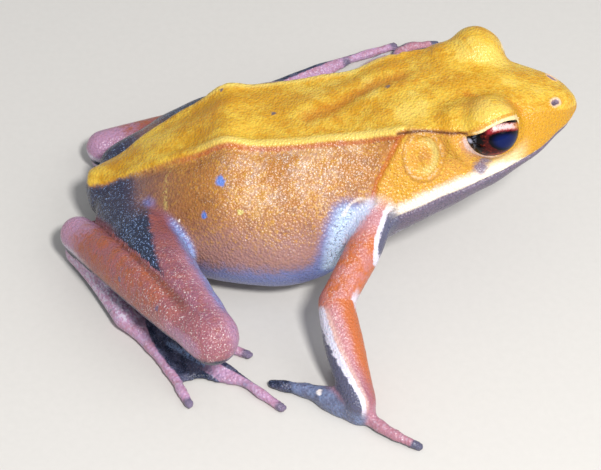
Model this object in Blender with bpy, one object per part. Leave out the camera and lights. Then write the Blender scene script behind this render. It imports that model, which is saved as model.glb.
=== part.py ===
"""Bicolored frog, life size, sitting: one named solid for each part of the body.

The frog looks along +X, its left side is +Y and the floor is Z = 0.
Lengths below are in millimetres, and MM turns them into Blender's metres.
A place on the frog is first measured from its vent, with X forward along the ground,
and ORIGIN moves the finished frog so that the middle of its footprint is at zero.
"""

import math

import bmesh
import bpy
import numpy as np
from mathutils import Matrix, Vector

MM = 0.001
GAP = 0.3
ORIGIN = np.array([31.48, -1.5, 0.0])

# Trunk and head, as stations from the vent to the snout.
# Each row: distance forward, midline's place across, height of the midline of the back,
# half width and height of the fold along the back, half width on the right and on the left,
# height of the widest line, height of the belly, how straight the right flank is and the left.
STATIONS = np.array(
    [
        [-1.0, 0.3, 10.9, 1.2, 10.3, 2.4, 2.4, 8.0, 5.0, 1.1, 1.1],
        [1.0, 0.2, 11.8, 1.8, 11.0, 4.6, 4.6, 7.8, 3.2, 1.1, 1.2],
        [4.5, 0.1, 13.9, 2.5, 13.0, 8.0, 7.2, 7.8, 1.6, 1.2, 1.5],
        [9.0, 0.0, 17.1, 3.8, 16.2, 12.2, 8.8, 8.0, 0.5, 1.3, 1.7],
        [14.0, 0.0, 19.7, 4.9, 18.8, 15.6, 9.9, 8.6, 0.0, 1.3, 1.9],
        [19.0, -0.1, 22.5, 6.0, 22.0, 17.6, 10.9, 9.2, -0.2, 1.35, 1.9],
        [22.5, -0.3, 22.5, 6.4, 21.8, 18.3, 11.6, 9.5, -0.2, 1.35, 1.9],
        [26.0, -0.7, 23.0, 6.6, 22.3, 18.4, 12.2, 9.8, -0.2, 1.35, 1.9],
        [32.0, -1.4, 24.3, 6.8, 23.6, 17.0, 13.2, 11.2, 0.9, 1.4, 1.9],
        [37.0, -2.0, 25.7, 7.2, 25.0, 14.8, 13.2, 13.4, 3.6, 1.55, 1.9],
        [42.0, -2.3, 27.4, 8.2, 26.8, 13.5, 13.2, 15.9, 7.2, 1.9, 2.0],
        [47.0, -2.2, 28.4, 9.0, 27.5, 12.9, 12.9, 18.0, 10.6, 2.3, 2.3],
        [52.0, -2.1, 29.0, 8.7, 26.9, 11.9, 11.9, 19.8, 13.4, 2.2, 2.2],
        [57.0, -2.2, 29.0, 6.6, 27.8, 10.0, 10.0, 21.4, 16.0, 1.9, 1.9],
        [61.6, -2.2, 28.2, 4.8, 27.4, 7.5, 7.5, 22.6, 18.5, 1.7, 1.7],
        [65.0, -2.1, 27.1, 3.4, 26.4, 4.7, 4.7, 23.3, 20.6, 1.5, 1.5],
        [67.0, -2.0, 26.2, 2.1, 25.6, 2.6, 2.6, 23.7, 22.0, 1.3, 1.3],
        [67.9, -2.0, 25.4, 0.9, 25.1, 1.1, 1.1, 24.2, 23.2, 1.2, 1.2],
    ]
)
TRUNK_STEP = 2.1
FOLD_RISE = 0.55
FOLD_END = 52.0
BELLY_ROUNDNESS = 0.84
BACK_PARTS = (0.4, 0.8)
FLANK_ANGLES = (20.0, 36.0, 54.0, 72.0, 90.0)
BELLY_ANGLES = (22.0, 44.0, 62.0, 77.0)
TAIL_END = (0.8, 8.0)
SNOUT_END = (0.35, 24.4)

# Mouth: the lip line's height below the widest line, and where the head meets the trunk.
LIP_DROP = 0.35
NECK_TOP = (43.0, 28.0)
NECK_SLOPE = 0.30

# Eyes: the balls from the vent, right (-1) and left (1), and from the midline, and the lids.
EYE_X = {-1.0: 55.25, 1.0: 54.7}
EYE_OUT = 8.0
EYE_Z = 26.8
HEAD_MIDLINE = -2.2
EYE_RADII = (3.75, 3.85, 3.9)
LID_LENGTHS = {-1.0: 4.5, 1.0: 4.5}
LID_RADII = (4.9, 4.25)
LID_SHIFT = (-0.4, -0.4, 0.35)
EYE_AXIS = Vector((0.12, 1.0, 0.27)).normalized()
OPENING_LENGTH = 3.75
OPENING_HEIGHT = 2.85
OPENING_DEPTH = 4.0

NOSTRIL = (64.6, 2.7, 26.4)
NOSTRIL_RADIUS = 0.55
NOSTRIL_MIDLINE = -1.9
EARDRUM = (46.1, 10.3, 23.9)
EARDRUM_LENGTH = 2.6
EARDRUM_HEIGHT = 3.4
EARDRUM_TILT = 66.0
EARDRUM_THICKNESS = 0.8
DISH_SHARE = 0.74
DISH_DEPTH = 0.45

# Limbs: joints as (forward, across to its own side, up) and radii (across, up and down).
ARMS = {
    "right": {
        "shoulder": (40.4, -10.5, 16.2),
        "upper": (38.4, -17.6, 14.0),
        "elbow": (33.5, -26.0, 9.5),
        "lower": (34.9, -33.0, 5.6),
        "wrist": (36.4, -38.2, 2.6),
    },
    "left": {
        "shoulder": (40.5, 6.5, 16.0),
        "upper": (41.4, 13.6, 13.9),
        "elbow": (40.4, 21.0, 9.8),
        "lower": (41.8, 27.6, 5.4),
        "wrist": (43.5, 33.4, 2.5),
    },
}
LEGS = {
    "right": {
        "hip": (4.4, -5.0, 7.6),
        "thigh": (9.9, -19.6, 10.0),
        "knee": (16.7, -33.8, 11.1),
        "calf": (7.3, -21.0, 9.5),
        "heel": (-2.6, -6.6, 5.3),
        "ankle": (4.5, -20.2, 1.9),
    },
    "left": {
        "hip": (4.6, 4.6, 7.6),
        "thigh": (18.5, 13.0, 9.3),
        "knee": (33.4, 18.6, 8.4),
        "calf": (17.0, 17.6, 4.4),
        "heel": (0.4, 14.0, 3.9),
        "ankle": (15.8, 23.3, 1.9),
    },
}
CAP_ANGLES = (62.0, 32.0)
UPPER_ARM = [3.2, 2.5, 2.5]
FOREARM = [2.5, 2.7, 2.2]
THIGH = [4.5, 4.6, 3.6]
SHANK = [3.5, 3.75, 2.7]
TARSUS = [2.2, 1.75, 1.9]

# Hands: the palm's middle and, for each finger, its heading in degrees, its length and its bend.
PALMS = {"right": (36.3, -38.6), "left": (44.2, 35.0)}
PALM_RADIUS = 2.3
FINGERS = {
    "right": [(152.0, 12.6, -0.05), (106.0, 8.0, -0.05), (90.0, 11.6, -0.05), (-38.0, 9.0, -0.05)],
    "left": [(-124.0, 12.0, 0.05), (-100.0, 8.0, 0.05), (-74.0, 11.6, 0.05), (38.0, 10.0, 0.2)],
}
FINGER_RADIUS = 0.95
THUMB_SHARE = 1.5
DIGIT_PROFILE = np.array([1.25, 1.0, 0.86, 0.8, 0.66, 0.72])
PAW_FLATNESS = 0.7

# Feet: the tip of each toe, first to fifth, and how far the web runs along the toes.
TOE_TIPS = {
    "right": [(11.6, -19.4), (16.8, -22.0), (21.4, -26.8), (25.8, -37.0), (13.2, -35.9)],
    "left": [(24.0, 25.6), (29.8, 28.6), (36.4, 32.4), (45.8, 41.2), (37.8, 37.2)],
}
TOE_RADIUS = 1.0
WEB_REACH = 0.74
WEB_THICKNESS = 0.6
WEB_START = 0.12
WEB_HOLLOW = 0.84
WEB_LOW = 0.25

COLOURS = {
    "back_yellow": ((0.68, 0.38, 0.03, 1.0), 0.42),
    "thigh_maroon": ((0.25, 0.08, 0.06, 1.0), 0.42),
    "shank_russet": ((0.37, 0.14, 0.06, 1.0), 0.42),
    "foot_pink": ((0.42, 0.22, 0.22, 1.0), 0.45),
    "arm_orange": ((0.60, 0.20, 0.07, 1.0), 0.42),
    "jaw_grey": ((0.18, 0.14, 0.19, 1.0), 0.45),
    "eye_dark": ((0.03, 0.01, 0.02, 1.0), 0.08),
}


def clear_scene():
    for thing in list(bpy.data.objects):
        bpy.data.objects.remove(thing, do_unlink=True)


def through(keys, values, places):
    """Smooth values at places, on a cubic whose slope at each key is that of its neighbours."""
    keys = np.asarray(keys, float)
    values = np.asarray(values, float)
    slopes = np.gradient(values, keys, axis=0)
    index = np.clip(np.searchsorted(keys, places, side="right") - 1, 0, len(keys) - 2)
    width = keys[index + 1] - keys[index]
    part = (places - keys[index]) / width
    if values.ndim > 1:
        part = part[:, None]
        width = width[:, None]
    start = (1 + 2 * part) * (1 - part) ** 2 * values[index]
    end = part**2 * (3 - 2 * part) * values[index + 1]
    leaving = part * (1 - part) ** 2 * width * slopes[index]
    arriving = part**2 * (part - 1) * width * slopes[index + 1]
    return start + end + leaving + arriving


def closed_loft(name, rings, first_pole, last_pole):
    """One closed mesh through rings of equally many points, with a pole at each end."""
    count, sides, _ = rings.shape
    points = np.vstack([rings.reshape(-1, 3), [first_pole, last_pole]])
    faces = []
    for ring in range(count - 1):
        for side in range(sides):
            here = ring * sides + side
            beside = ring * sides + (side + 1) % sides
            faces.append((here, beside, beside + sides, here + sides))
    last = (count - 1) * sides
    for side in range(sides):
        beside = (side + 1) % sides
        faces.append((beside, side, count * sides))
        faces.append((last + side, last + beside, count * sides + 1))
    mesh = bpy.data.meshes.new(name)
    mesh.from_pydata(((points - ORIGIN) * MM).tolist(), [], faces)
    solid = bmesh.new()
    solid.from_mesh(mesh)
    bmesh.ops.recalc_face_normals(solid, faces=solid.faces)
    solid.to_mesh(mesh)
    solid.free()
    made = bpy.data.objects.new(name, mesh)
    bpy.context.scene.collection.objects.link(made)
    return made


def ball(name, centre, radii, turn=None, segments=16, rings=9):
    """An ellipsoid at a place on the frog, its axes turned by a rotation matrix."""
    mesh = bpy.data.meshes.new(name)
    solid = bmesh.new()
    bmesh.ops.create_uvsphere(solid, u_segments=segments, v_segments=rings, radius=1.0)
    shape = Matrix.Diagonal(Vector(radii) * MM).to_4x4()
    if turn is not None:
        shape = turn.to_4x4() @ shape
    place = Matrix.Translation((Vector(centre) - Vector(ORIGIN)) * MM)
    bmesh.ops.transform(solid, matrix=place @ shape, verts=solid.verts)
    solid.to_mesh(mesh)
    solid.free()
    made = bpy.data.objects.new(name, mesh)
    bpy.context.scene.collection.objects.link(made)
    return made


def apply_modifiers(thing):
    graph = bpy.context.evaluated_depsgraph_get()
    mesh = bpy.data.meshes.new_from_object(thing.evaluated_get(graph))
    thing.modifiers.clear()
    thing.data = mesh


def keep_largest(thing):
    """Keeps the largest closed surface of a mesh and drops loose scraps."""
    solid = bmesh.new()
    solid.from_mesh(thing.data)
    unseen = set(solid.faces)
    pieces = []
    while unseen:
        reached = [unseen.pop()]
        piece = set(reached)
        while reached:
            for edge in reached.pop().edges:
                for face in edge.link_faces:
                    if face in unseen:
                        unseen.remove(face)
                        piece.add(face)
                        reached.append(face)
        pieces.append(piece)
    pieces.sort(key=len)
    for piece in pieces[:-1]:
        bmesh.ops.delete(solid, geom=list(piece), context="FACES")
    solid.to_mesh(thing.data)
    solid.free()


def combine(thing, others, operation):
    """Joins others to a solid, or cuts them from it, in one Boolean, and removes them."""
    helpers = bpy.data.collections.new("helpers")
    bpy.context.scene.collection.children.link(helpers)
    for other in others:
        bpy.context.scene.collection.objects.unlink(other)
        helpers.objects.link(other)
    boolean = thing.modifiers.new("combine", "BOOLEAN")
    boolean.operation = operation
    boolean.solver = "EXACT"
    boolean.operand_type = "COLLECTION"
    boolean.collection = helpers
    apply_modifiers(thing)
    for other in others:
        bpy.data.objects.remove(other, do_unlink=True)
    bpy.data.collections.remove(helpers)
    keep_largest(thing)


def finish(thing, name, colour):
    """Names a solid, gives it its own material and shades it smooth."""
    thing.name = name
    tint, roughness = COLOURS[colour]
    material = bpy.data.materials.new(name + "_skin")
    material.use_nodes = True
    shader = material.node_tree.nodes["Principled BSDF"]
    shader.inputs["Base Color"].default_value = tint
    shader.inputs["Roughness"].default_value = roughness
    shader.inputs["Metallic"].default_value = 0.0
    thing.data.materials.clear()
    thing.data.materials.append(material)
    thing.data.shade_smooth()
    thing.data.set_sharp_from_angle(angle=math.radians(40.0))


def trunk_ring(row, grow):
    """The outline across the trunk at one station: back, fold, flank and belly, right then left."""
    x, middle, top, fold_out, fold_up, right, left, wide, belly, right_straight, left_straight = row
    rise = FOLD_RISE * np.interp(x, [0.0, 12.0, FOLD_END - 4.0, FOLD_END], [0.2, 1.0, 1.0, 0.3])
    points = [(middle, top + grow)]
    halves = []
    for side, width, straight in ((-1.0, right, right_straight), (1.0, left, left_straight)):
        half = []
        for part in BACK_PARTS:
            half.append((middle + side * fold_out * part, top - (top - fold_up) * part**2 + grow))
        half.append((middle + side * (fold_out + 0.3 * rise + 0.5 * grow), fold_up + rise + grow))
        for angle in np.radians(FLANK_ANGLES):
            out = fold_out + (width - fold_out) * math.sin(angle) ** straight
            up = wide + (fold_up - wide) * math.cos(angle) ** straight
            half.append((middle + side * (out + grow), up + 0.6 * grow * math.cos(angle)))
        for angle in np.radians(BELLY_ANGLES):
            out = width * math.cos(angle) ** BELLY_ROUNDNESS
            down = (wide - belly) * math.sin(angle) ** BELLY_ROUNDNESS
            across = out + grow * math.cos(angle)
            half.append((middle + side * across, wide - down - grow * math.sin(angle)))
        halves.append(half)
    points += halves[0] + [(middle, belly - grow)] + halves[1][::-1]
    return [(x, across, up) for across, up in points]


def trunk(name, grow=0.0):
    """Trunk and head in one closed loft; grow makes it larger all round."""
    first = STATIONS[0, 0]
    last = STATIONS[-1, 0]
    places = np.linspace(first, last, round((last - first) / TRUNK_STEP) + 1)
    places = np.sort(np.append(places, [0.0, last - 0.9]))
    rows = through(STATIONS[:, 0], STATIONS, places)
    rings = np.array([trunk_ring(row, grow) for row in rows])
    behind = (first - TAIL_END[0] - grow, rows[0, 1], TAIL_END[1])
    ahead = (last + SNOUT_END[0] + grow, rows[-1, 1], SNOUT_END[1])
    return closed_loft(name, rings, behind, ahead)


def tube(name, path, radii, sides=12, steps=9, grow=0.0, flatness=1.0):
    """A limb: round rings carried along a smooth path, with a rounded cap at each end."""
    path = np.asarray(path, float)
    gaps = np.linalg.norm(np.diff(path, axis=0), axis=1)
    along = np.concatenate([[0.0], np.cumsum(gaps)]) / gaps.sum()
    places = np.linspace(0.0, 1.0, steps)
    middles = through(along, path, places)
    sizes = through(np.linspace(0.0, 1.0, len(radii)), radii, places) + grow
    heading = np.gradient(middles, axis=0)
    heading /= np.linalg.norm(heading, axis=1)[:, None]
    cap = np.radians(CAP_ANGLES)
    back = middles[0] - np.outer(np.sin(cap), heading[0]) * sizes[0]
    front = middles[-1] + np.outer(np.sin(cap[::-1]), heading[-1]) * sizes[-1]
    middles = np.vstack([back, middles, front])
    sizes = np.concatenate([sizes[0] * np.cos(cap), sizes, sizes[-1] * np.cos(cap[::-1])])
    heading = np.vstack([heading[[0, 0]], heading, heading[[-1, -1]]])
    across = np.cross(heading, [0.0, 0.0, 1.0])
    across /= np.linalg.norm(across, axis=1)[:, None]
    up = np.cross(across, heading)
    turn = np.linspace(0.0, 2.0 * np.pi, sides, endpoint=False)
    wide = np.cos(turn)[None, :, None] * across[:, None, :]
    high = flatness * np.sin(turn)[None, :, None] * up[:, None, :]
    rings = middles[:, None, :] + sizes[:, None, None] * (wide + high)
    first = middles[2] - heading[0] * sizes[2]
    last = middles[-3] + heading[-1] * sizes[-3]
    return closed_loft(name, rings, first, last)


def floor_block():
    """Everything below the floor, which cuts the small flats that the frog rests on."""
    corners = np.array([(-1, -1), (1, -1), (1, 1), (-1, 1)]) * 90.0 + [30.0, 0.0]
    low = np.column_stack([corners, np.full(4, -12.0)])
    high = np.column_stack([corners, np.zeros(4)])
    return closed_loft("floor", np.array([low, high]), low.mean(axis=0), high.mean(axis=0))


def upper_arm(side, grow=0.0):
    arm = ARMS[side]
    return tube("upper_arm", [arm["shoulder"], arm["upper"], arm["elbow"]], UPPER_ARM, steps=7, grow=grow)


def forearm(side, grow=0.0):
    arm = ARMS[side]
    return tube("forearm", [arm["elbow"], arm["lower"], arm["wrist"]], FOREARM, steps=7, grow=grow)


def thigh(side, grow=0.0):
    leg = LEGS[side]
    return tube("thigh", [leg["hip"], leg["thigh"], leg["knee"]], THIGH, sides=14, grow=grow)


def shank(side, grow=0.0):
    leg = LEGS[side]
    return tube("shank", [leg["knee"], leg["calf"], leg["heel"]], SHANK, sides=14, grow=grow)


def tarsus(side, grow=0.0):
    leg = LEGS[side]
    heel = np.array(leg["heel"])
    ankle = np.array(leg["ankle"])
    start = np.array([heel[0], heel[1], TARSUS[0] - 0.1])
    middle = (start + ankle) / 2.0
    return tube("tarsus", [start, middle, ankle], TARSUS, sides=10, steps=6, grow=grow)


def digit(start, tip, radius, bend):
    """A finger or toe: slightly bent sideways, thicker at its joints and at its rounded tip."""
    start = np.asarray(start, float)
    tip = np.asarray(tip, float)
    along = tip - start
    sideways = np.array([-along[1], along[0], 0.0]) * bend
    middle = (start + tip) / 2.0 + sideways + [0.0, 0.0, 0.15 * radius]
    return tube("digit", [start, middle, tip], radius * DIGIT_PROFILE, sides=7, steps=7)


def hand(side):
    """Palm and four fingers, flat on the floor."""
    centre = np.array([*PALMS[side], 1.5])
    wrist = np.array(ARMS[side]["wrist"])
    middle = (wrist + centre) / 2.0
    sizes = [1.9, 2.2, PALM_RADIUS]
    palm = tube("palm", [wrist, middle, centre], sizes, sides=10, steps=4, flatness=PAW_FLATNESS)
    fingers = []
    for number, (heading, length, bend) in enumerate(FINGERS[side]):
        way = np.array([math.cos(math.radians(heading)), math.sin(math.radians(heading)), 0.0])
        start = centre * [1.0, 1.0, 0.0] + way * 0.7 + [0.0, 0.0, 1.05]
        tip = start + way * length
        tip[2] = 0.55
        thick = THUMB_SHARE if number == 0 else 1.0
        fingers.append(digit(start, tip, FINGER_RADIUS * thick, bend))
    combine(palm, fingers, "UNION")
    return palm


def web(start, first_tip, second_tip):
    """Skin between two toes, thin and with a hollow free edge."""
    rings = []
    for part in np.linspace(WEB_START, WEB_REACH, 5):
        one = start + (first_tip - start) * part
        two = start + (second_tip - start) * part
        middle = start + ((first_tip + second_tip) / 2.0 - start) * part * WEB_HOLLOW
        edge = [one, middle, two]
        top = [(point[0], point[1], WEB_LOW + WEB_THICKNESS) for point in edge]
        low = [(point[0], point[1], WEB_LOW) for point in edge[::-1]]
        rings.append(top + low)
    rings = np.array(rings)
    return closed_loft("web", rings, rings[0].mean(axis=0), rings[-1].mean(axis=0))


def foot(side):
    """Instep, five toes and the web between them."""
    ankle = np.array(LEGS[side]["ankle"])
    tips = [np.array([*tip, 0.6]) for tip in TOE_TIPS[side]]
    root = ankle * [1.0, 1.0, 0.0] + [0.0, 0.0, 1.1]
    ahead = root + (tips[3] - root) * 0.22
    middle = (ankle + ahead) / 2.0
    sizes = [1.9, 1.9, 1.5]
    instep = tube("instep", [ankle, middle, ahead], sizes, sides=10, steps=4, flatness=PAW_FLATNESS)
    pieces = [digit(root, tip, TOE_RADIUS, 0.04) for tip in tips]
    low = root * [1.0, 1.0, 0.0]
    for first, second in zip(tips[:-1], tips[1:]):
        pieces.append(web(low, first * [1.0, 1.0, 0.0], second * [1.0, 1.0, 0.0]))
    combine(instep, pieces, "UNION")
    return instep


def lip_height(x):
    """Height of the line of the mouth at a distance along the head."""
    return np.interp(x, STATIONS[:, 0], STATIONS[:, 7]) - LIP_DROP


def neck_block(behind):
    """Everything behind or ahead of the neck's sloping plane, and half the gap past it."""
    x, z = NECK_TOP
    side = -1.0 if behind else 1.0
    start = -side * GAP / 2.0
    rings = []
    for reach in (start, side * 90.0):
        corners = ((-40.0, -20.0), (40.0, -20.0), (40.0, 50.0), (-40.0, 50.0))
        rings.append([(x + reach + NECK_SLOPE * (up - z), across, up) for across, up in corners])
    rings = np.array(rings)
    return closed_loft("neck_block", rings, rings[0].mean(axis=0), rings[-1].mean(axis=0))


def jaw_block(above):
    """Everything above or below the line of the mouth, and half the gap past it."""
    side = 1.0 if above else -1.0
    rings = []
    for x in np.linspace(28.0, 74.0, 20):
        near = lip_height(x) - side * GAP / 2.0
        far = 60.0 * side
        rings.append([(x, -40, near), (x, 40, near), (x, 40, far), (x, -40, far)])
    rings = np.array(rings, float)
    return closed_loft("jaw_block", rings, rings[0].mean(axis=0), rings[-1].mean(axis=0))


def eye_centre(side):
    return Vector((EYE_X[side], HEAD_MIDLINE + side * EYE_OUT, EYE_Z))


def eye_turn(side):
    """Turns Z onto the line that the eye looks along, with Y along the head."""
    ahead = Vector((EYE_AXIS.x, EYE_AXIS.y * side, EYE_AXIS.z))
    across = ahead.cross(Vector((1.0, 0.0, 0.0))).normalized()
    along = ahead.cross(across)
    return Matrix((across, along, ahead)).transposed()


def add_face(body):
    """Lids, eardrums and nostrils, all on the head while it is still whole."""
    raised = []
    sunk = []
    for side in (-1.0, 1.0):
        centre = eye_centre(side)
        lid = centre + Vector((LID_SHIFT[0], LID_SHIFT[1] * side, LID_SHIFT[2]))
        raised.append(ball("lid", lid, (LID_LENGTHS[side], *LID_RADII), None, 18, 10))
        turn = Matrix.Rotation(-side * math.radians(EARDRUM_TILT), 3, "X")
        drum = Vector((EARDRUM[0], HEAD_MIDLINE + side * EARDRUM[1], EARDRUM[2]))
        outward = turn @ Vector((0.0, 0.0, 1.0))
        raised.append(ball("drum", drum, (EARDRUM_LENGTH, EARDRUM_HEIGHT, EARDRUM_THICKNESS), turn, 16, 8))
        dish = (EARDRUM_LENGTH * DISH_SHARE, EARDRUM_HEIGHT * DISH_SHARE, DISH_DEPTH)
        sunk.append(ball("dish", drum + outward * (EARDRUM_THICKNESS + 0.05), dish, turn, 14, 6))
        axis = eye_turn(side)
        sunk.append(ball("socket", centre, [radius + GAP for radius in EYE_RADII], axis, 18, 10))
        ahead = axis @ Vector((0.0, 0.0, 1.0))
        opening = (OPENING_HEIGHT, OPENING_LENGTH, OPENING_DEPTH)
        sunk.append(ball("opening", centre + ahead * EYE_RADII[2], opening, axis, 16, 8))
        nostril = Vector((NOSTRIL[0], NOSTRIL_MIDLINE + side * NOSTRIL[1], NOSTRIL[2]))
        sunk.append(ball("nostril", nostril, [NOSTRIL_RADIUS] * 3, None, 8, 6))
    combine(body, raised, "UNION")
    combine(body, sunk, "DIFFERENCE")


def build_body():
    body = trunk("body")
    add_face(body)
    combine(body, [floor_block()], "DIFFERENCE")
    pieces = {
        "torso": [neck_block(behind=False)],
        "head": [neck_block(behind=True), jaw_block(above=False)],
        "lower_jaw": [neck_block(behind=True), jaw_block(above=True)],
    }
    for name, cutters in pieces.items():
        piece = body.copy()
        piece.data = body.data.copy()
        bpy.context.scene.collection.objects.link(piece)
        for cutter in cutters:
            combine(piece, [cutter], "DIFFERENCE")
        finish(piece, name, "jaw_grey" if name == "lower_jaw" else "back_yellow")
    bpy.data.objects.remove(body, do_unlink=True)


def build_eyes():
    for word, side in (("right", -1.0), ("left", 1.0)):
        eye = ball("eye", eye_centre(side), EYE_RADII, eye_turn(side), 16, 10)
        finish(eye, "eye_" + word, "eye_dark")


def build_arm(side):
    upper = upper_arm(side)
    combine(upper, [trunk("body_room", GAP)], "DIFFERENCE")
    lower = forearm(side)
    combine(lower, [upper_arm(side, GAP), trunk("body_room", GAP)], "DIFFERENCE")
    paw = hand(side)
    combine(paw, [forearm(side, GAP), floor_block()], "DIFFERENCE")
    combine(lower, [floor_block()], "DIFFERENCE")
    finish(upper, "upper_arm_" + side, "arm_orange")
    finish(lower, "forearm_" + side, "arm_orange")
    finish(paw, "hand_" + side, "arm_orange")


def build_leg(side):
    upper = thigh(side)
    combine(upper, [trunk("body_room", GAP)], "DIFFERENCE")
    combine(upper, [shank(side, GAP)], "DIFFERENCE")
    lower = shank(side)
    combine(lower, [trunk("body_room", GAP), floor_block()], "DIFFERENCE")
    ankle = tarsus(side)
    combine(ankle, [shank(side, GAP), floor_block()], "DIFFERENCE")
    toes = foot(side)
    combine(toes, [tarsus(side, GAP)], "DIFFERENCE")
    combine(toes, [shank(side, GAP), floor_block()], "DIFFERENCE")
    finish(upper, "thigh_" + side, "thigh_maroon")
    finish(lower, "shank_" + side, "shank_russet")
    finish(ankle, "tarsus_" + side, "foot_pink")
    finish(toes, "foot_" + side, "foot_pink")


def main():
    clear_scene()
    build_body()
    build_eyes()
    for side in ("right", "left"):
        build_arm(side)
        build_leg(side)


main()
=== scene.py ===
import math
import bmesh
import bpy
import numpy as np
from mathutils import Matrix


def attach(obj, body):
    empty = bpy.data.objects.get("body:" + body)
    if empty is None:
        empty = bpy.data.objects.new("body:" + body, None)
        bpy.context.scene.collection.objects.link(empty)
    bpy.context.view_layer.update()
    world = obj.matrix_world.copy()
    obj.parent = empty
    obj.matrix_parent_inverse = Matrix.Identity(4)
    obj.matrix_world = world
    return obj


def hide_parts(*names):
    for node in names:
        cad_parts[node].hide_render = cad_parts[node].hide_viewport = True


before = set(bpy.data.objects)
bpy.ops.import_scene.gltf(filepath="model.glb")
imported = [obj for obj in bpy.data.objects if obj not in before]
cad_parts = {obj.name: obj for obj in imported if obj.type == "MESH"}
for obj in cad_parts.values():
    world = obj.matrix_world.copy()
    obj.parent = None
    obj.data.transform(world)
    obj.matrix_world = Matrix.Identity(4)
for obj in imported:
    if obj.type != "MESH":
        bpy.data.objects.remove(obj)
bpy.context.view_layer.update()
print("frame loaded with", len(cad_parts), "solids")

# Places on the frog are in millimetres from its vent, X forward, Y to its left and Z up.
mm = 0.001
origin = np.array([31.48, -1.5, 0.0])

body = {
    # distance forward, midline across, height of the midline, half width and height of the fold,
    # half width right and left, height of the widest line, height of the belly,
    # how straight the right flank is and the left
    "stations": np.array([
        [-1.0, 0.3, 10.9, 1.2, 10.3, 2.4, 2.4, 8.0, 5.0, 1.1, 1.1],
        [1.0, 0.2, 11.8, 1.8, 11.0, 4.6, 4.6, 7.8, 3.2, 1.1, 1.2],
        [4.5, 0.1, 13.9, 2.5, 13.0, 8.0, 7.2, 7.8, 1.6, 1.2, 1.5],
        [9.0, 0.0, 17.1, 3.8, 16.2, 12.2, 8.8, 8.0, 0.5, 1.3, 1.7],
        [14.0, 0.0, 19.7, 4.9, 18.8, 15.6, 9.9, 8.6, 0.0, 1.3, 1.9],
        [19.0, -0.1, 22.5, 6.0, 22.0, 17.6, 10.9, 9.2, -0.2, 1.35, 1.9],
        [22.5, -0.3, 22.5, 6.4, 21.8, 18.3, 11.6, 9.5, -0.2, 1.35, 1.9],
        [26.0, -0.7, 23.0, 6.6, 22.3, 18.4, 12.2, 9.8, -0.2, 1.35, 1.9],
        [32.0, -1.4, 24.3, 6.8, 23.6, 17.0, 13.2, 11.2, 0.9, 1.4, 1.9],
        [37.0, -2.0, 25.7, 7.2, 25.0, 14.8, 13.2, 13.4, 3.6, 1.55, 1.9],
        [42.0, -2.3, 27.4, 8.2, 26.8, 13.5, 13.2, 15.9, 7.2, 1.9, 2.0],
        [47.0, -2.2, 28.4, 9.0, 27.5, 12.9, 12.9, 18.0, 10.6, 2.3, 2.3],
        [52.0, -2.1, 29.0, 8.7, 26.9, 11.9, 11.9, 19.8, 13.4, 2.2, 2.2],
        [57.0, -2.2, 29.0, 6.6, 27.8, 10.0, 10.0, 21.4, 16.0, 1.9, 1.9],
        [61.6, -2.2, 28.2, 4.8, 27.4, 7.5, 7.5, 22.6, 18.5, 1.7, 1.7],
        [65.0, -2.1, 27.1, 3.4, 26.4, 4.7, 4.7, 23.3, 20.6, 1.5, 1.5],
        [67.0, -2.0, 26.2, 2.1, 25.6, 2.6, 2.6, 23.7, 22.0, 1.3, 1.3],
        [67.9, -2.0, 25.4, 0.9, 25.1, 1.1, 1.1, 24.2, 23.2, 1.2, 1.2],
    ]),
    "bellyRoundness": 0.84,
    "rings": 150,
    "sides": 96,
    "tail": (-1.8, 0.3, 8.0),
    "snout": (68.25, -2.0, 24.4),
    "lipDrop": 0.35,
    "snoutDrop": 0.45,
    "voxel": 0.44,
}
headMiddle = -2.2
bothSides = ("right", "left")

eye = {
    "forward": {"right": 55.25, "left": 54.7},
    "outAndUp": (8.0, 26.8),            # out from the head's midline
    "radii": (3.88, 3.8, 3.92),         # along the head, up, outwards
    "looks": (0.12, -1.0, 0.27),
    "lidLength": {"right": 4.3, "left": 4.1},
    "lidRadii": (4.55, 4.1),
    "lidShift": (-0.1, 0.35, 0.3),
    # the low swelling that each lid grows out of, behind it and further in
    "rootShift": (-3.3, 1.3, -1.6),
    "rootRadii": (5.2, 4.4, 4.3),
    # the lids' opening on the ball: forward and up from the line the eye looks along
    "opening": [(-3.7, 0.1), (-2.6, 0.8), (-1.7, 1.3), (-0.75, 1.9), (0.8, 2.35), (2.0, 2.3), (2.9, 1.95),
                (3.35, 1.65), (3.58, 1.35), (3.74, 0.9), (3.72, -0.1), (3.42, -1.15), (2.85, -1.8),
                (2.1, -2.2), (0.85, -2.6), (-0.1, -2.8), (-1.05, -2.9), (-2.05, -2.65), (-2.8, -2.1),
                (-3.4, -1.25), (-3.7, -0.5)],
    "lidEdge": 0.14,
    "lidTurn": 0.7,         # over how many mm the lid turns in
    "behindBall": 0.92,     # where the skin in the opening ends, in ball radii
}

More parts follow.
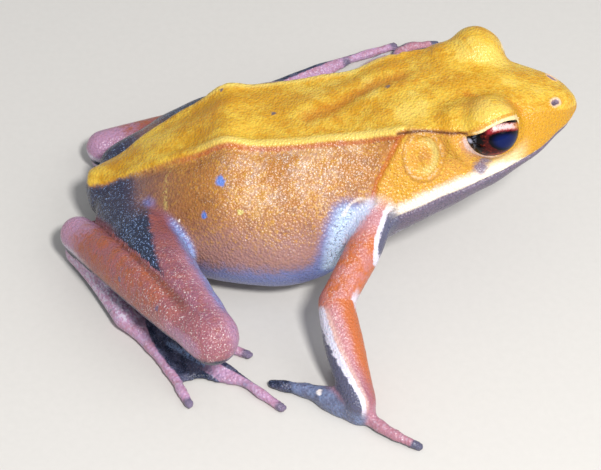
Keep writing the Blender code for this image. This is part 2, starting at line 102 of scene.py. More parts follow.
arms = {
    "right": [(40.4, -10.5, 16.2), (38.4, -17.6, 14.0), (33.5, -26.0, 9.5), (34.9, -33.0, 5.6),
              (36.4, -38.2, 2.6)],
    "left": [(40.5, 6.5, 16.0), (41.4, 13.6, 13.9), (40.4, 21.0, 9.8), (41.8, 27.6, 5.4), (43.5, 33.4, 2.5)],
}
legs = {    # hip, middle of the thigh, knee, middle of the shank, heel, ankle
    "right": [(4.4, -5.0, 7.6), (9.9, -19.6, 10.0), (16.7, -33.8, 11.1), (7.3, -21.0, 9.5),
              (-2.6, -6.6, 5.3), (4.5, -20.2, 1.9)],
    "left": [(4.6, 4.6, 7.6), (18.5, 13.0, 9.3), (33.4, 18.6, 8.4), (17.0, 17.6, 4.4), (0.4, 14.0, 3.9),
             (15.8, 23.3, 1.9)],
}
girths = {
    "upperArm": [3.2, 2.8, 2.5, 2.45, 2.5],
    "forearm": [2.5, 2.7, 2.7, 2.45, 2.2],
    "thigh": [4.5, 4.7, 4.6, 4.15, 3.6],
    "shank": [3.5, 3.75, 3.75, 3.3, 2.7],
    "tarsus": [2.2, 1.85, 1.75, 1.8, 1.9],
}
limbEdge = (1.42, 1.12)     # where a limb's paint begins and is full, in girths from its middle line
thighEdge = (1.24, 1.06)
hands = {   # the palm's middle, and each finger's heading in degrees, length and sideways bend
    "right": ((36.3, -38.6), [(152.0, 12.6, -0.05), (106.0, 8.0, -0.05), (90.0, 11.6, -0.05),
                              (-38.0, 9.0, -0.05)]),
    "left": ((44.2, 35.0), [(-124.0, 12.0, 0.05), (-100.0, 8.0, 0.05), (-74.0, 11.6, 0.05),
                            (38.0, 10.0, 0.2)]),
}
feet = {    # the tip of each toe, first to fifth
    "right": [(11.6, -19.4), (16.8, -22.0), (21.4, -26.8), (25.8, -37.0), (13.2, -35.9)],
    "left": [(24.0, 25.6), (29.8, 28.6), (36.4, 32.4), (45.8, 41.2), (37.8, 37.2)],
}
digits = {
    "finger": 0.95,
    "thumbShare": 1.5,
    "toe": 1.0,
    "places": [0.0, 0.2, 0.4, 0.55, 0.8, 0.92, 1.0],
    "taper": [1.25, 0.98, 0.88, 0.82, 0.66, 0.66, 0.7],
    "thumbTaper": [1.15, 1.3, 1.05, 0.72, 0.56, 0.5, 0.5],
    "joints": (0.34, 0.62, 0.86),
    "swelling": 0.13,
    "palm": [1.9, 2.2, 2.3],
    "instep": [1.9, 1.9, 1.5],
    "pawFlatness": 0.7,
    "palmHeight": 1.5,
    "fingerStart": 0.7,
    "fingerStartHeight": 1.05,
    "fingerTipHeight": 0.55,
    "toeTipHeight": 0.6,
    "toeRootHeight": 1.1,
    "toeBend": 0.04,
    "arch": 0.15,
    "jointWidth": 0.045,
    "instepReach": 0.22,
    "webReach": 0.74,
    "webHollow": 0.84,
    "webLow": 0.12,
    "webThickness": 0.85,
}


def through(keys, values, places):
    # a cubic between each two keys, whose slope at a key is that of its neighbours
    keys = np.asarray(keys, float)
    values = np.asarray(values, float)
    slopes = np.gradient(values, keys, axis=0)
    index = np.clip(np.searchsorted(keys, places, side="right") - 1, 0, len(keys) - 2)
    width = keys[index + 1] - keys[index]
    part = (places - keys[index]) / width
    if values.ndim > 1:
        part = part[:, None]
        width = width[:, None]
    start = (1 + 2 * part) * (1 - part) ** 2 * values[index]
    end = part**2 * (3 - 2 * part) * values[index + 1]
    leaving = part * (1 - part) ** 2 * width * slopes[index]
    arriving = part**2 * (part - 1) * width * slopes[index + 1]
    return start + end + leaving + arriving


def smooth(low, high, value):
    # 0 below low, 1 above high, and an S between them
    part = np.clip((value - low) / (high - low), 0.0, 1.0)
    return part * part * (3.0 - 2.0 * part)


def hump(value, width):
    # a bell of height 1 round zero
    return np.exp(-((value / width) ** 2))


def closedTube(rings, first, last):
    # quads between neighbouring rings, and a fan of triangles from a pole at each end
    count, sides, _ = rings.shape
    here = np.arange((count - 1) * sides).reshape(count - 1, sides)
    beside = np.roll(here, -1, axis=1)
    quads = np.stack([here, beside, beside + sides, here + sides], axis=-1).reshape(-1, 4)
    edge = np.arange(sides)
    after = np.roll(edge, -1)
    end = (count - 1) * sides
    front = np.stack([after, edge, np.full(sides, count * sides)], axis=-1)
    back = np.stack([edge + end, after + end, np.full(sides, count * sides + 1)], axis=-1)
    points = np.vstack([rings.reshape(-1, 3), [first, last]])
    return points, quads.tolist() + front.tolist() + back.tolist()


def halfOutline(rows, share, width, straight):
    # a parabola over the back to the fold, a superellipse down the flank, another under the belly
    _, _, top, foldOut, foldUp, _, _, wide, belly, _, _ = rows.T[:, :, None]
    over = np.clip(share / 0.25, 0.0, 1.0)
    down = np.clip((share - 0.25) / 0.40, 0.0, 1.0) * math.pi / 2
    under = np.clip((share - 0.65) / 0.35, 0.0, 1.0) * math.pi / 2
    cosDown = np.clip(np.cos(down), 0.0, 1.0)
    cosUnder = np.clip(np.cos(under), 0.0, 1.0)
    flankOut = foldOut + (width - foldOut) * np.sin(down) ** straight
    flankUp = wide + (foldUp - wide) * cosDown ** straight
    bellyOut = width * cosUnder ** body["bellyRoundness"]
    bellyUp = wide - (wide - belly) * np.sin(under) ** body["bellyRoundness"]
    out = np.where(share <= 0.25, foldOut * over, np.where(share <= 0.65, flankOut, bellyOut))
    up = np.where(share <= 0.25, top - (top - foldUp) * over**2, np.where(share <= 0.65, flankUp, bellyUp))
    return out, up


def trunkSurface():
    # outlines across the body, each from its row of sizes, read smoothly along the stations
    stations = body["stations"]
    turn = np.linspace(0.0, math.pi, body["rings"])
    even = np.linspace(stations[0, 0], stations[-1, 0], body["rings"])
    closer = stations[0, 0] + (stations[-1, 0] - stations[0, 0]) * (1 - np.cos(turn)) / 2
    places = 0.75 * even + 0.25 * closer
    rows = through(stations[:, 0], stations, places)
    share = np.linspace(0.0, 1.0, body["sides"] // 2 + 1)[None, :]
    rightOut, rightUp = halfOutline(rows, share, rows[:, 5:6], rows[:, 9:10])
    leftOut, leftUp = halfOutline(rows, share, rows[:, 6:7], rows[:, 10:11])
    across = np.hstack([rows[:, 1:2] - rightOut, (rows[:, 1:2] + leftOut)[:, -2:0:-1]])
    up = np.hstack([rightUp, leftUp[:, -2:0:-1]])
    rings = np.stack([np.broadcast_to(places[:, None], across.shape), across, up], axis=-1)
    return closedTube(rings, body["tail"], body["snout"])


def middleLine(path, places):
    # the smooth line through a limb's joints, by its share of the length
    path = np.asarray(path, float)
    gaps = np.linalg.norm(np.diff(path, axis=0), axis=1)
    return through(np.concatenate([[0.0], np.cumsum(gaps)]) / gaps.sum(), path, places)


def limbSurface(path, radii, sides=28, steps=40, flatness=1.0):
    # round rings carried along the middle line, with half a ball at each end
    places = np.linspace(0.0, 1.0, steps)
    middles = middleLine(path, places)
    sizes = through(np.linspace(0.0, 1.0, len(radii)), radii, places)
    heading = np.gradient(middles, axis=0)
    heading /= np.linalg.norm(heading, axis=1)[:, None]
    cap = np.radians([75.0, 60.0, 45.0, 30.0, 15.0])
    back = middles[0] - np.outer(np.sin(cap), heading[0]) * sizes[0]
    front = middles[-1] + np.outer(np.sin(cap[::-1]), heading[-1]) * sizes[-1]
    first = middles[0] - heading[0] * sizes[0]
    last = middles[-1] + heading[-1] * sizes[-1]
    middles = np.vstack([back, middles, front])
    heading = np.vstack([heading[[0] * 5], heading, heading[[-1] * 5]])
    sizes = np.concatenate([sizes[0] * np.cos(cap), sizes, sizes[-1] * np.cos(cap[::-1])])
    across = np.cross(heading, [0.0, 0.0, 1.0])
    across /= np.linalg.norm(across, axis=1)[:, None]
    up = np.cross(across, heading)
    turn = np.linspace(0.0, 2.0 * math.pi, sides, endpoint=False)[None, :, None]
    rings = np.cos(turn) * across[:, None, :] + flatness * np.sin(turn) * up[:, None, :]
    return closedTube(middles[:, None, :] + sizes[:, None, None] * rings, first, last)


def ballSurface(centre, radii, sides=40, steps=24):
    # an ellipsoid in the frog's own directions
    height = np.linspace(0.0, math.pi, steps + 2)[1:-1][:, None, None]
    turn = np.linspace(0.0, 2.0 * math.pi, sides, endpoint=False)[None, :, None]
    rings = np.concatenate([np.sin(height) * np.cos(turn), np.sin(height) * np.sin(turn),
                            np.cos(height) * np.ones_like(turn)], axis=-1)
    rings = np.asarray(centre) + rings * np.asarray(radii)
    top = np.asarray(centre) + [0.0, 0.0, radii[2]]
    return closedTube(rings, top, top - [0.0, 0.0, 2.0 * radii[2]])


def digitSurface(start, tip, radius, bend, taper):
    # a limb bent a little sideways: it tapers, swells at each joint and ends in a small pad
    start = np.asarray(start, float)
    tip = np.asarray(tip, float)
    along = tip - start
    sideways = np.array([-along[1], along[0], 0.0]) * bend
    middle = (start + tip) / 2 + sideways + [0.0, 0.0, digits["arch"] * radius]
    share = np.linspace(0.0, 1.0, 41)
    sizes = np.interp(share, digits["places"], taper)
    for joint in digits["joints"]:
        sizes = sizes + digits["swelling"] * hump(share - joint, digits["jointWidth"])
    return limbSurface([start, middle, tip], radius * sizes, sides=16, steps=36)


def handSurfaces(side):
    # a flattened palm from the wrist, and the fingers out of its middle
    palm, fingers = hands[side]
    centre = np.array([*palm, digits["palmHeight"]])
    wrist = np.array(arms[side][4])
    palmPath = [wrist, (wrist + centre) / 2, centre]
    made = [limbSurface(palmPath, digits["palm"], 24, 12, digits["pawFlatness"])]
    for number, (heading, length, bend) in enumerate(fingers):
        way = np.array([math.cos(math.radians(heading)), math.sin(math.radians(heading)), 0.0])
        start = centre * [1.0, 1.0, 0.0] + way * digits["fingerStart"]
        start[2] += digits["fingerStartHeight"]
        tip = start + way * length
        tip[2] = digits["fingerTipHeight"]
        thick, taper = (digits["thumbShare"], "thumbTaper") if number == 0 else (1.0, "taper")
        made.append(digitSurface(start, tip, digits["finger"] * thick, bend, digits[taper]))
    return made


def webSurface(start, one, two):
    # a thin slab between two toes, whose free edge is hollow
    part = np.linspace(0.1, digits["webReach"], 14)[:, None, None]
    side = np.linspace(0.0, 1.0, 9)[None, :, None]
    hollow = 1.0 - (1.0 - digits["webHollow"]) * 4.0 * side * (1.0 - side)
    flat = start + ((one - start) * (1.0 - side) + (two - start) * side) * part * hollow
    low = flat + [0.0, 0.0, digits["webLow"]]
    high = low + [0.0, 0.0, digits["webThickness"]]
    rings = np.concatenate([high, low[:, ::-1]], axis=1)
    return closedTube(rings, rings[0].mean(axis=0), rings[-1].mean(axis=0))


def footSurfaces(side):
    # a flattened instep ahead of the ankle, five toes and the webs between them
    ankle = np.array(legs[side][5])
    tips = [np.array([*tip, digits["toeTipHeight"]]) for tip in feet[side]]
    root = ankle * [1.0, 1.0, 0.0] + [0.0, 0.0, digits["toeRootHeight"]]
    ahead = root + (tips[3] - root) * digits["instepReach"]
    instepPath = [ankle, (ankle + ahead) / 2, ahead]
    made = [limbSurface(instepPath, digits["instep"], 24, 12, digits["pawFlatness"])]
    for tip in tips:
        made.append(digitSurface(root, tip, digits["toe"], digits["toeBend"], digits["taper"]))
    floorRoot = root * [1.0, 1.0, 0.0]
    for one, two in zip(tips[:-1], tips[1:]):
        made.append(webSurface(floorRoot, one * [1.0, 1.0, 0.0], two * [1.0, 1.0, 0.0]))
    return made


def limbPaths(side):
    # each limb segment's joints and girths, by name
    arm = arms[side]
    leg = legs[side]
    heel = (leg[4][0], leg[4][1], girths["tarsus"][0] - 0.1)
    halfway = tuple((np.array(heel) + np.array(leg[5])) / 2)
    return {
        "upperArm": (arm[0:3], girths["upperArm"]),
        "forearm": (arm[2:5], girths["forearm"]),
        "thigh": (leg[0:3], girths["thigh"]),
        "shank": (leg[2:5], girths["shank"]),
        "tarsus": ([heel, halfway, leg[5]], girths["tarsus"]),
    }


def sideSign(side):
    return -1.0 if side == "right" else 1.0


def eyeFrame(side):
    # the ball's middle, and its directions forward, up and outwards
    sign = sideSign(side)
    out, height = eye["outAndUp"]
    centre = np.array([eye["forward"][side], headMiddle + sign * out, height])
    look = np.array(eye["looks"]) * [1.0, -sign, 1.0]
    look /= np.linalg.norm(look)
    up = np.array([0.0, 0.0, 1.0]) - look * look[2]
    up /= np.linalg.norm(up)
    ahead = np.cross(up, look)
    ahead *= math.copysign(1.0, ahead[0])
    return centre, ahead, up, look


def gatherSkin():
    surfaces = [trunkSurface()]
    for side in bothSides:
        sign = sideSign(side)
        centre = eyeFrame(side)[0]
        shift = np.array(eye["lidShift"]) * [1.0, -sign, 1.0]
        surfaces.append(ballSurface(centre + shift, (eye["lidLength"][side], *eye["lidRadii"])))
        shift = np.array(eye["rootShift"]) * [1.0, -sign, 1.0]
        surfaces.append(ballSurface(centre + shift, eye["rootRadii"]))
        surfaces += [limbSurface(path, radii) for path, radii in limbPaths(side).values()]
        surfaces += handSurfaces(side) + footSurfaces(side)
    return surfaces


def addObject(name, data):
    made = bpy.data.objects.new(name, data)
    bpy.context.scene.collection.objects.link(made)
    return made


def joinSurfaces(name, surfaces):
    points = []
    faces = []
    start = 0
    for found, quads in surfaces:
        points.append(found)
        faces += [[corner + start for corner in face] for face in quads]
        start += len(found)
    mesh = bpy.data.meshes.new(name)
    mesh.from_pydata(np.vstack(points).tolist(), [], faces)
    return addObject(name, mesh)


def readArray(items, key, width, kind=float):
    # a row of numbers for each point, normal or edge
    found = np.empty(len(items) * width, kind)
    items.foreach_get(key, found)
    return found.reshape(-1, width)


def readPoints(mesh):
    return readArray(mesh.vertices, "co", 3)


def readNormals(mesh):
    return readArray(mesh.vertex_normals, "vector", 3, np.float32).astype(float)


def writePoints(mesh, points):
    mesh.vertices.foreach_set("co", np.ascontiguousarray(points, np.float32).ravel())
    mesh.update()


def pull(points, edges):
    # from each point to the mean of its neighbours
    count = np.bincount(edges.ravel(), minlength=len(points))[:, None]
    one, two = edges.T
    total = np.stack([
        np.bincount(one, points[two, axis], len(points)) + np.bincount(two, points[one, axis], len(points))
        for axis in range(3)
    ], axis=1)
    return total / count - points


def relax(mesh, rounds, hollowShare, ridgeShare):
    # moves each point part of the way to its neighbours' mean, by one share in hollows and another on ridges
    points = readPoints(mesh)
    edges = readArray(mesh.edges, "vertices", 2, np.int32)
    for step in range(rounds):
        if step % 4 == 0:
            writePoints(mesh, points)
            normals = readNormals(mesh)
        toMean = pull(points, edges)
        hollow = (toMean * normals).sum(axis=1, keepdims=True) > 0.0
        points = points + toMean * np.where(hollow, hollowShare, ridgeShare)
    writePoints(mesh, points)


def evenOut(mesh, rounds):
    # a step to the neighbours' mean and a slightly longer one back, which keeps the volume
    points = readPoints(mesh)
    edges = readArray(mesh.edges, "vertices", 2, np.int32)
    for _ in range(rounds):
        points = points + 0.5 * pull(points, edges)
        points = points - 0.52 * pull(points, edges)
    writePoints(mesh, points)


def pieceDistance(points, start, end):
    # distance from each point to one straight piece
    way = end - start
    share = np.clip((points - start) @ way / (way @ way), 0.0, 1.0)
    return np.linalg.norm(points - start - share[:, None] * way, axis=1)


def distanceToLine(points, line):
    # distance from each point to an open run of straight pieces
    line = np.asarray(line, float)
    return np.minimum.reduce([pieceDistance(points, start, end) for start, end in zip(line[:-1], line[1:])])


def outlineDistance(flat, outline):
    # distance to a closed outline in a plane, negative inside it
    after = np.roll(outline, -1, axis=0)
    inside = np.zeros(len(flat), bool)
    for start, end in zip(outline, after):
        way = end - start
        crosses = (start[1] > flat[:, 1]) != (end[1] > flat[:, 1])
        rise = way[1] if way[1] else 1e-9
        inside ^= crosses & (flat[:, 0] < start[0] + (flat[:, 1] - start[1]) * way[0] / rise)
    best = distanceToLine(flat, np.vstack([outline, outline[:1]]))
    return np.where(inside, -best, best)


def roundOutline(outline):
    # the same outline, cut twice at its corners
    outline = np.asarray(outline, float)
    for _ in range(2):
        after = np.roll(outline, -1, axis=0)
        corners = [0.75 * outline + 0.25 * after, 0.25 * outline + 0.75 * after]
        outline = np.stack(corners, axis=1).reshape(-1, 2)
    return outline


def onBall(points, side):
    # where a point lies over the ball: forward and up in mm, its distance in ball radii, outwards or not
    centre, ahead, up, look = eyeFrame(side)
    local = np.stack([(points - centre) @ way for way in (ahead, up, look)], axis=1) / eye["radii"]
    length = np.maximum(np.linalg.norm(local, axis=1), 1e-6)
    facing = local / length[:, None]
    return facing[:, 0] * eye["radii"][0], facing[:, 1] * eye["radii"][1], length, facing[:, 2]


def rimDistance(points, side):
    # millimetres from the edge of the lids along the ball, negative in the opening
    ahead, up, length, facing = onBall(points, side)
    distance = np.full(len(points), 9.0)
    near = (facing > 0.0) & (length < 2.0)
    distance[near] = outlineDistance(np.stack([ahead, up], axis=1)[near], roundOutline(eye["opening"]))
    return distance + 6.0 * np.maximum(length - 1.42, 0.0), length


def stationValues(points, columns):
    stations = body["stations"]
    places = np.clip(points[:, 0], stations[0, 0], stations[-1, 0])
    return through(stations[:, 0], stations[:, columns], places).T


def foldDistance(points):
    # millimetres across the fold along the back: positive on the flank, negative on the back
    middle, out, up = stationValues(points, [1, 3, 4])
    across = np.abs(points[:, 1] - middle) - out
    above = points[:, 2] - up
    return np.hypot(across, above) * np.sign(across - above + 1e-9)


def lipHeight(points):
    # millimetres above the mouth line, which drops a little towards the snout
    drop = body["lipDrop"] + body["snoutDrop"] * smooth(50.0, 58.0, points[:, 0])
    return points[:, 2] - (stationValues(points, [7])[0] - drop)


def onSkin(line, points, normals):
    # the line, cut into short steps and moved straight onto the surface
    line = np.asarray(line, float)
    gone = np.concatenate([[0.0], np.cumsum(np.linalg.norm(np.diff(line, axis=0), axis=1))])
    steps = np.linspace(0.0, gone[-1], max(3, int(gone[-1] / 0.4)))
    line = np.stack([np.interp(steps, gone, line[:, axis]) for axis in range(3)], axis=1)
    nearest = ((points**2).sum(axis=1) - 2.0 * line @ points.T).argmin(axis=1)
    rise = ((points[nearest] - line) * normals[nearest]).sum(axis=1, keepdims=True)
    return line + normals[nearest] * rise


def layLines(points, normals):
    # every line of the face on the right side, and for all but the lid crease, the streak and the furrow its
    # mirror image on the left
    laid = {}
    for name, line in face.items():
        mirrored = [(x, 2.0 * headMiddle - y, z) for x, y, z in line]
        sides = [line] if name in ("lidCrease", "streak", "furrow") else [line, mirrored]
        laid[name] = [onSkin(side, points, normals) for side in sides]
    return laid


def lineDistance(points, name):
    return np.minimum.reduce([distanceToLine(points, line) for line in lines[name]])


drum = {
    "centre": (46.0, -12.75, 24.1),
    "length": 2.7,
    "height": 3.5,
    "tilt": 66.0,
}
fineReach = {   # how far from each part of the face the mesh is split, at the first and the second level
    "lid": (1.2, 0.6),
    "lip": (0.8, 0.45),
    "nostril": (1.1, 0.75),
    "drum": 1.25,
    "crease": 0.9,
}
relief = {   # humps of the skin in mm: height, distance from the line and width
    "fold": [(0.5, -0.1, 0.85), (-0.28, 1.4, 0.7)],
    "drum": [(0.08, 0.93, 0.12), (-0.06, 1.13, 0.1), (0.1, 0.0, 0.33)],
    "lip": [(-0.42, 0.0, 0.24), (0.14, 0.75, 0.55)],
    "crease": [(-0.32, 0.0, 0.38), (0.12, 0.9, 0.5)],
    "nostril": [(-0.34, 0.0, 0.3), (0.1, 0.62, 0.22)],
    "furrow": [(-0.3, 0.0, 1.3), (0.1, 2.6, 1.2)],
    "lidCrease": [(-0.2, 0.0, 0.5)],
    "pocketEdge": [(0.22, 0.0, 0.5)],
    "seam": [(-0.14, 0.0, 0.25)],
    "drumHollow": 0.1,
    "groove": 0.6,
    "waves": 0.05,
}
relaxing = {   # rounds, and shares of the way to the neighbours' mean
    "skin": 14,
    "lids": 40,
    "elbows": 9,
    "hollows": 0.5,
    "ridges": 0.02,
    "elbowRidges": 0.2,
    "grooveKept": 0.85,
}
face = {
    "crease": [(43.4, -10.9, 27.2), (42.7, -11.2, 26.2), (41.7, -12.2, 24.6), (40.6, -13.2, 22.6),
               (39.6, -14.1, 20.8), (38.9, -15.0, 18.0)],
    "seam": [(42.6, -10.6, 26.6), (44.5, -11.2, 27.5), (46.3, -11.3, 27.7), (48.7, -11.5, 27.4),
             (51.4, -12.5, 27.9)],
    "lidCrease": [(52.3, -5.1, 28.9), (54.8, -6.6, 30.4), (57.2, -6.8, 29.7), (59.1, -7.1, 28.2),
                  (59.6, -8.2, 27.2)],
    "pocket": [(35.5, -16.0, 16.2), (34.6, -17.1, 13.8), (33.9, -17.8, 11.8), (33.4, -17.5, 9.4)],
    "pocketEdge": [(34.9, -16.0, 16.6), (36.0, -15.0, 18.0), (37.4, -14.6, 18.6), (38.9, -14.8, 18.2),
                   (40.1, -14.6, 17.8)],
    "nostril": [(64.15, -4.75, 26.1), (64.5, -4.65, 26.35), (64.85, -4.55, 26.55)],
    "furrow": [(30.5, -3.4, 24.2), (33.6, -2.5, 24.9), (39.3, 0.3, 26.6), (43.5, 0.8, 27.9)],
    "streak": [(10.9, -5.6, 17.0), (10.5, -7.0, 16.0), (10.1, -8.4, 14.8), (10.3, -10.2, 13.3)],
}


def drumPlace(points):
    # share of the eardrum's radius, from its middle
    sign = np.where(points[:, 1] < headMiddle, -1.0, 1.0)
    x, y, z = drum["centre"]
    tilt = math.radians(90.0 - drum["tilt"])
    away = (points[:, 1] - headMiddle) * sign - (headMiddle - y)
    ahead = (points[:, 0] - x) / drum["length"]
    above = ((points[:, 2] - z) * math.cos(tilt) - away * math.sin(tilt)) / drum["height"]
    deep = away * math.cos(tilt) + (points[:, 2] - z) * math.sin(tilt)
    return np.where(np.abs(deep) < 2.2, np.hypot(ahead, above), 3.0)


def splitNear(mesh, chosen):
    # halves the edges of the faces that have a chosen point
    work = bmesh.new()
    work.from_mesh(mesh)
    work.verts.ensure_lookup_table()
    edges = [edge for edge in work.edges if chosen[edge.verts[0].index] or chosen[edge.verts[1].index]]
    bmesh.ops.subdivide_edges(work, edges=edges, cuts=1, use_grid_fill=True, smooth=0.0)
    bmesh.ops.triangulate(work, faces=[f for f in work.faces if len(f.verts) > 4])
    work.to_mesh(mesh)
    work.free()


def fineZone(points, level):
    # true where the face needs smaller steps: lids, mouth line, nostrils and eardrums
    zone = np.zeros(len(points), bool)
    for side in bothSides:
        distance, length = rimDistance(points, side)
        zone |= (np.abs(distance) < fineReach["lid"][level]) & (length < 1.6)
    middle, width = stationValues(points, [1, 5])
    outside = np.abs(points[:, 1] - middle) > 0.55 * width - 1.0
    mouth = (points[:, 0] > 39.5) & (outside | (points[:, 0] > 65.0))
    zone |= mouth & (np.abs(lipHeight(points)) < fineReach["lip"][level])
    zone |= lineDistance(points, "nostril") < fineReach["nostril"][level]
    if level == 0:
        zone |= drumPlace(points) < fineReach["drum"]
        zone |= lineDistance(points, "crease") < fineReach["crease"]
        overDrum = (points[:, 0] > 43.0) & (points[:, 0] < 52.0)
        zone |= overDrum & (np.abs(foldDistance(points)) < fineReach["crease"])
    return zone


def openEyes(points):
    # inside the opening the skin drops behind the ball, and at its edge it turns in as a thick lid
    for side in bothSides:
        centre = eyeFrame(side)[0]
        distance, length = rimDistance(points, side)
        edge = 1.0 + eye["lidEdge"] / 4.0
        outer = np.maximum(length, edge + 0.02)
        lid = edge + (outer - edge) * smooth(-0.05, eye["lidTurn"], distance)
        behind = eye["behindBall"]
        wanted = behind + (lid - behind) * smooth(-0.2, 0.03, distance)
        near = ((distance < eye["lidTurn"]) | (length < edge + 0.02)) * smooth(1.75, 1.45, length)
        factor = 1.0 + near * (wanted / length - 1.0)
        points = centre + (points - centre) * factor[:, None]
    return points


def humps(distance, name):
    return sum(height * hump(distance - away, width) for height, away, width in relief[name])


def faceRelief(points):
    # heights in mm along the normal: folds, creases, lips, eardrums, nostrils and low waves
    x, y, z = points.T
    strength = np.interp(x, [0.0, 4.0, 12.0, 30.0, 46.0, 50.0, 52.0], [0.25, 0.6, 1.0, 0.9, 0.6, 0.3, 0.0])
    height = strength * humps(foldDistance(points), "fold")
    for name in ("crease", "nostril", "furrow", "lidCrease", "pocketEdge", "seam"):
        height += humps(lineDistance(points, name), name)
    ring = drumPlace(points)
    height += humps(ring, "drum") - relief["drumHollow"] * smooth(0.85, 0.55, ring)
    middle, right = stationValues(points, [1, 5])
    outside = smooth(0.62, 0.85, np.abs(y - middle) / np.maximum(right, 0.5))
    outside = np.maximum(outside, smooth(66.0, 67.0, x))
    height += outside * smooth(39.8, 41.5, x) * humps(lipHeight(points), "lip")
    height -= relief["groove"] * legGroove(points, 0.5)
    waves = np.sin(x * 0.9 + y * 0.5) + np.sin(y * 1.3 - x * 0.4 + 1.0) + np.sin(x * 0.45 + z * 0.8)
    return height + relief["waves"] * waves * smooth(6.0, 12.0, z)


def nearestLimb(points, path, radii):
    # share along the limb, distance from its middle line in radii, direction outwards,
    # and how far that direction turns to the front
    places = np.linspace(0.0, 1.0, 61)
    middles = middleLine(path, places)
    heading = np.gradient(middles, axis=0)
    front = np.cross(heading, [0.0, 0.0, 1.0])
    front *= np.sign(front[:, :1]) / np.linalg.norm(front, axis=1)[:, None]
    squares = (points**2).sum(axis=1)[:, None] - 2.0 * points @ middles.T + (middles**2).sum(axis=1)
    nearest = squares.argmin(axis=1)
    away = points - middles[nearest]
    size = through(np.linspace(0.0, 1.0, len(radii)), radii, places)[nearest]
    length = np.linalg.norm(away, axis=1)
    outwards = away / np.maximum(length, 1e-6)[:, None]
    return places[nearest], length / size, outwards, (outwards * front[nearest]).sum(axis=1)


def legGroove(points, width):
    # 1 along the line where the thigh and the shank lie against each other, fading at the knee
    groove = np.zeros(len(points))
    for side in bothSides:
        paths = limbPaths(side)
        along, thigh, _, _ = nearestLimb(points, *paths["thigh"])
        _, shank, _, _ = nearestLimb(points, *paths["shank"])
        pressed = smooth(1.9, 1.5, np.maximum(thigh, shank)) * smooth(0.97, 0.84, along)
        groove = np.maximum(groove, pressed * hump((thigh - shank) * 5.0, width))
    return groove


def softPlaces(points):
    # the lids' joins with the head, and the elbows
    lids = np.zeros(len(points))
    elbows = np.zeros(len(points))
    for side in bothSides:
        centre = eyeFrame(side)[0]
        lids = np.maximum(lids, smooth(9.5, 6.0, np.linalg.norm(points - centre, axis=1)))
        elbow = np.array(arms[side][2])
        elbows = np.maximum(elbows, smooth(5.5, 3.0, np.linalg.norm(points - elbow, axis=1)))
    return lids * smooth(21.0, 25.0, points[:, 2]), elbows


print("skin: joining the body's surfaces")
skin = joinSurfaces("frog_skin", gatherSkin())
remesh = skin.modifiers.new("one skin", "REMESH")
remesh.mode = "VOXEL"
remesh.voxel_size = body["voxel"]
remesh.use_smooth_shade = True
graph = bpy.context.evaluated_depsgraph_get()
skin.data = bpy.data.meshes.new_from_object(skin.evaluated_get(graph))
skin.modifiers.clear()
print("skin: one surface of", len(skin.data.polygons), "faces")
evenOut(skin.data, 10)
points = readPoints(skin.data)
hollows = relaxing["hollows"]
besideGroove = 1.0 - relaxing["grooveKept"] * legGroove(points, 3.0)
relax(skin.data, relaxing["skin"], hollows * besideGroove[:, None], relaxing["ridges"])
lids, elbows = [places[:, None] for places in softPlaces(points)]
relax(skin.data, relaxing["lids"], hollows * lids, 0.0)
relax(skin.data, relaxing["elbows"], hollows * elbows, relaxing["elbowRidges"] * elbows)
evenOut(skin.data, 4)
lines = layLines(readPoints(skin.data), readNormals(skin.data))
for level in (0, 1):
    splitNear(skin.data, fineZone(readPoints(skin.data), level))
    evenOut(skin.data, 2)
plain = readPoints(skin.data)
points = openEyes(plain + readNormals(skin.data) * faceRelief(plain)[:, None])
points[:, 2] = np.maximum(points[:, 2], 0.0)
writePoints(skin.data, points)
print("skin: shaped,", len(skin.data.polygons), "faces")


def digitFields(points, side):
    # distances to the hand, the thumb, the toes and their webs, and to the tips of fingers and toes
    palm, fingers = hands[side]
    centre = np.array([*palm, 1.2])
    wrist = np.array(arms[side][4])
    ankle = np.array(legs[side][5]) * [1.0, 1.0, 0.6]
    tips = []
    for heading, length, _ in fingers:
        turn = math.radians(heading)
        way = np.array([math.cos(turn), math.sin(turn), 0.0])
        tips.append(centre + way * (length + 0.7) - [0.0, 0.0, 0.6])
    toes = [np.array([*tip, digits["toeTipHeight"]]) for tip in feet[side]]
    webs = [one * share + two * (1.0 - share)
            for one, two in zip(toes[:-1], toes[1:]) for share in (0.3, 0.5, 0.7)]
    toToe = [distanceToLine(points, [ankle, tip]) for tip in toes]
    instep = np.linalg.norm(points - ankle, axis=1)
    return {
        "hand": np.minimum.reduce([distanceToLine(points, [wrist, centre, tip]) for tip in tips]),
        "thumb": distanceToLine(points, [centre, tips[0]]),
        "fingerFar": np.minimum.reduce([np.linalg.norm(points - tip, axis=1) for tip in tips]),
        "toe": np.minimum.reduce(toToe),
        "toe5": toToe[4] - 3.0 * hump(instep, 3.5),
        "toeFar": np.minimum.reduce([np.linalg.norm(points - tip, axis=1) for tip in toes[2:]]),
        "fan": np.minimum.reduce([distanceToLine(points, [ankle, web]) for web in webs]),
    }


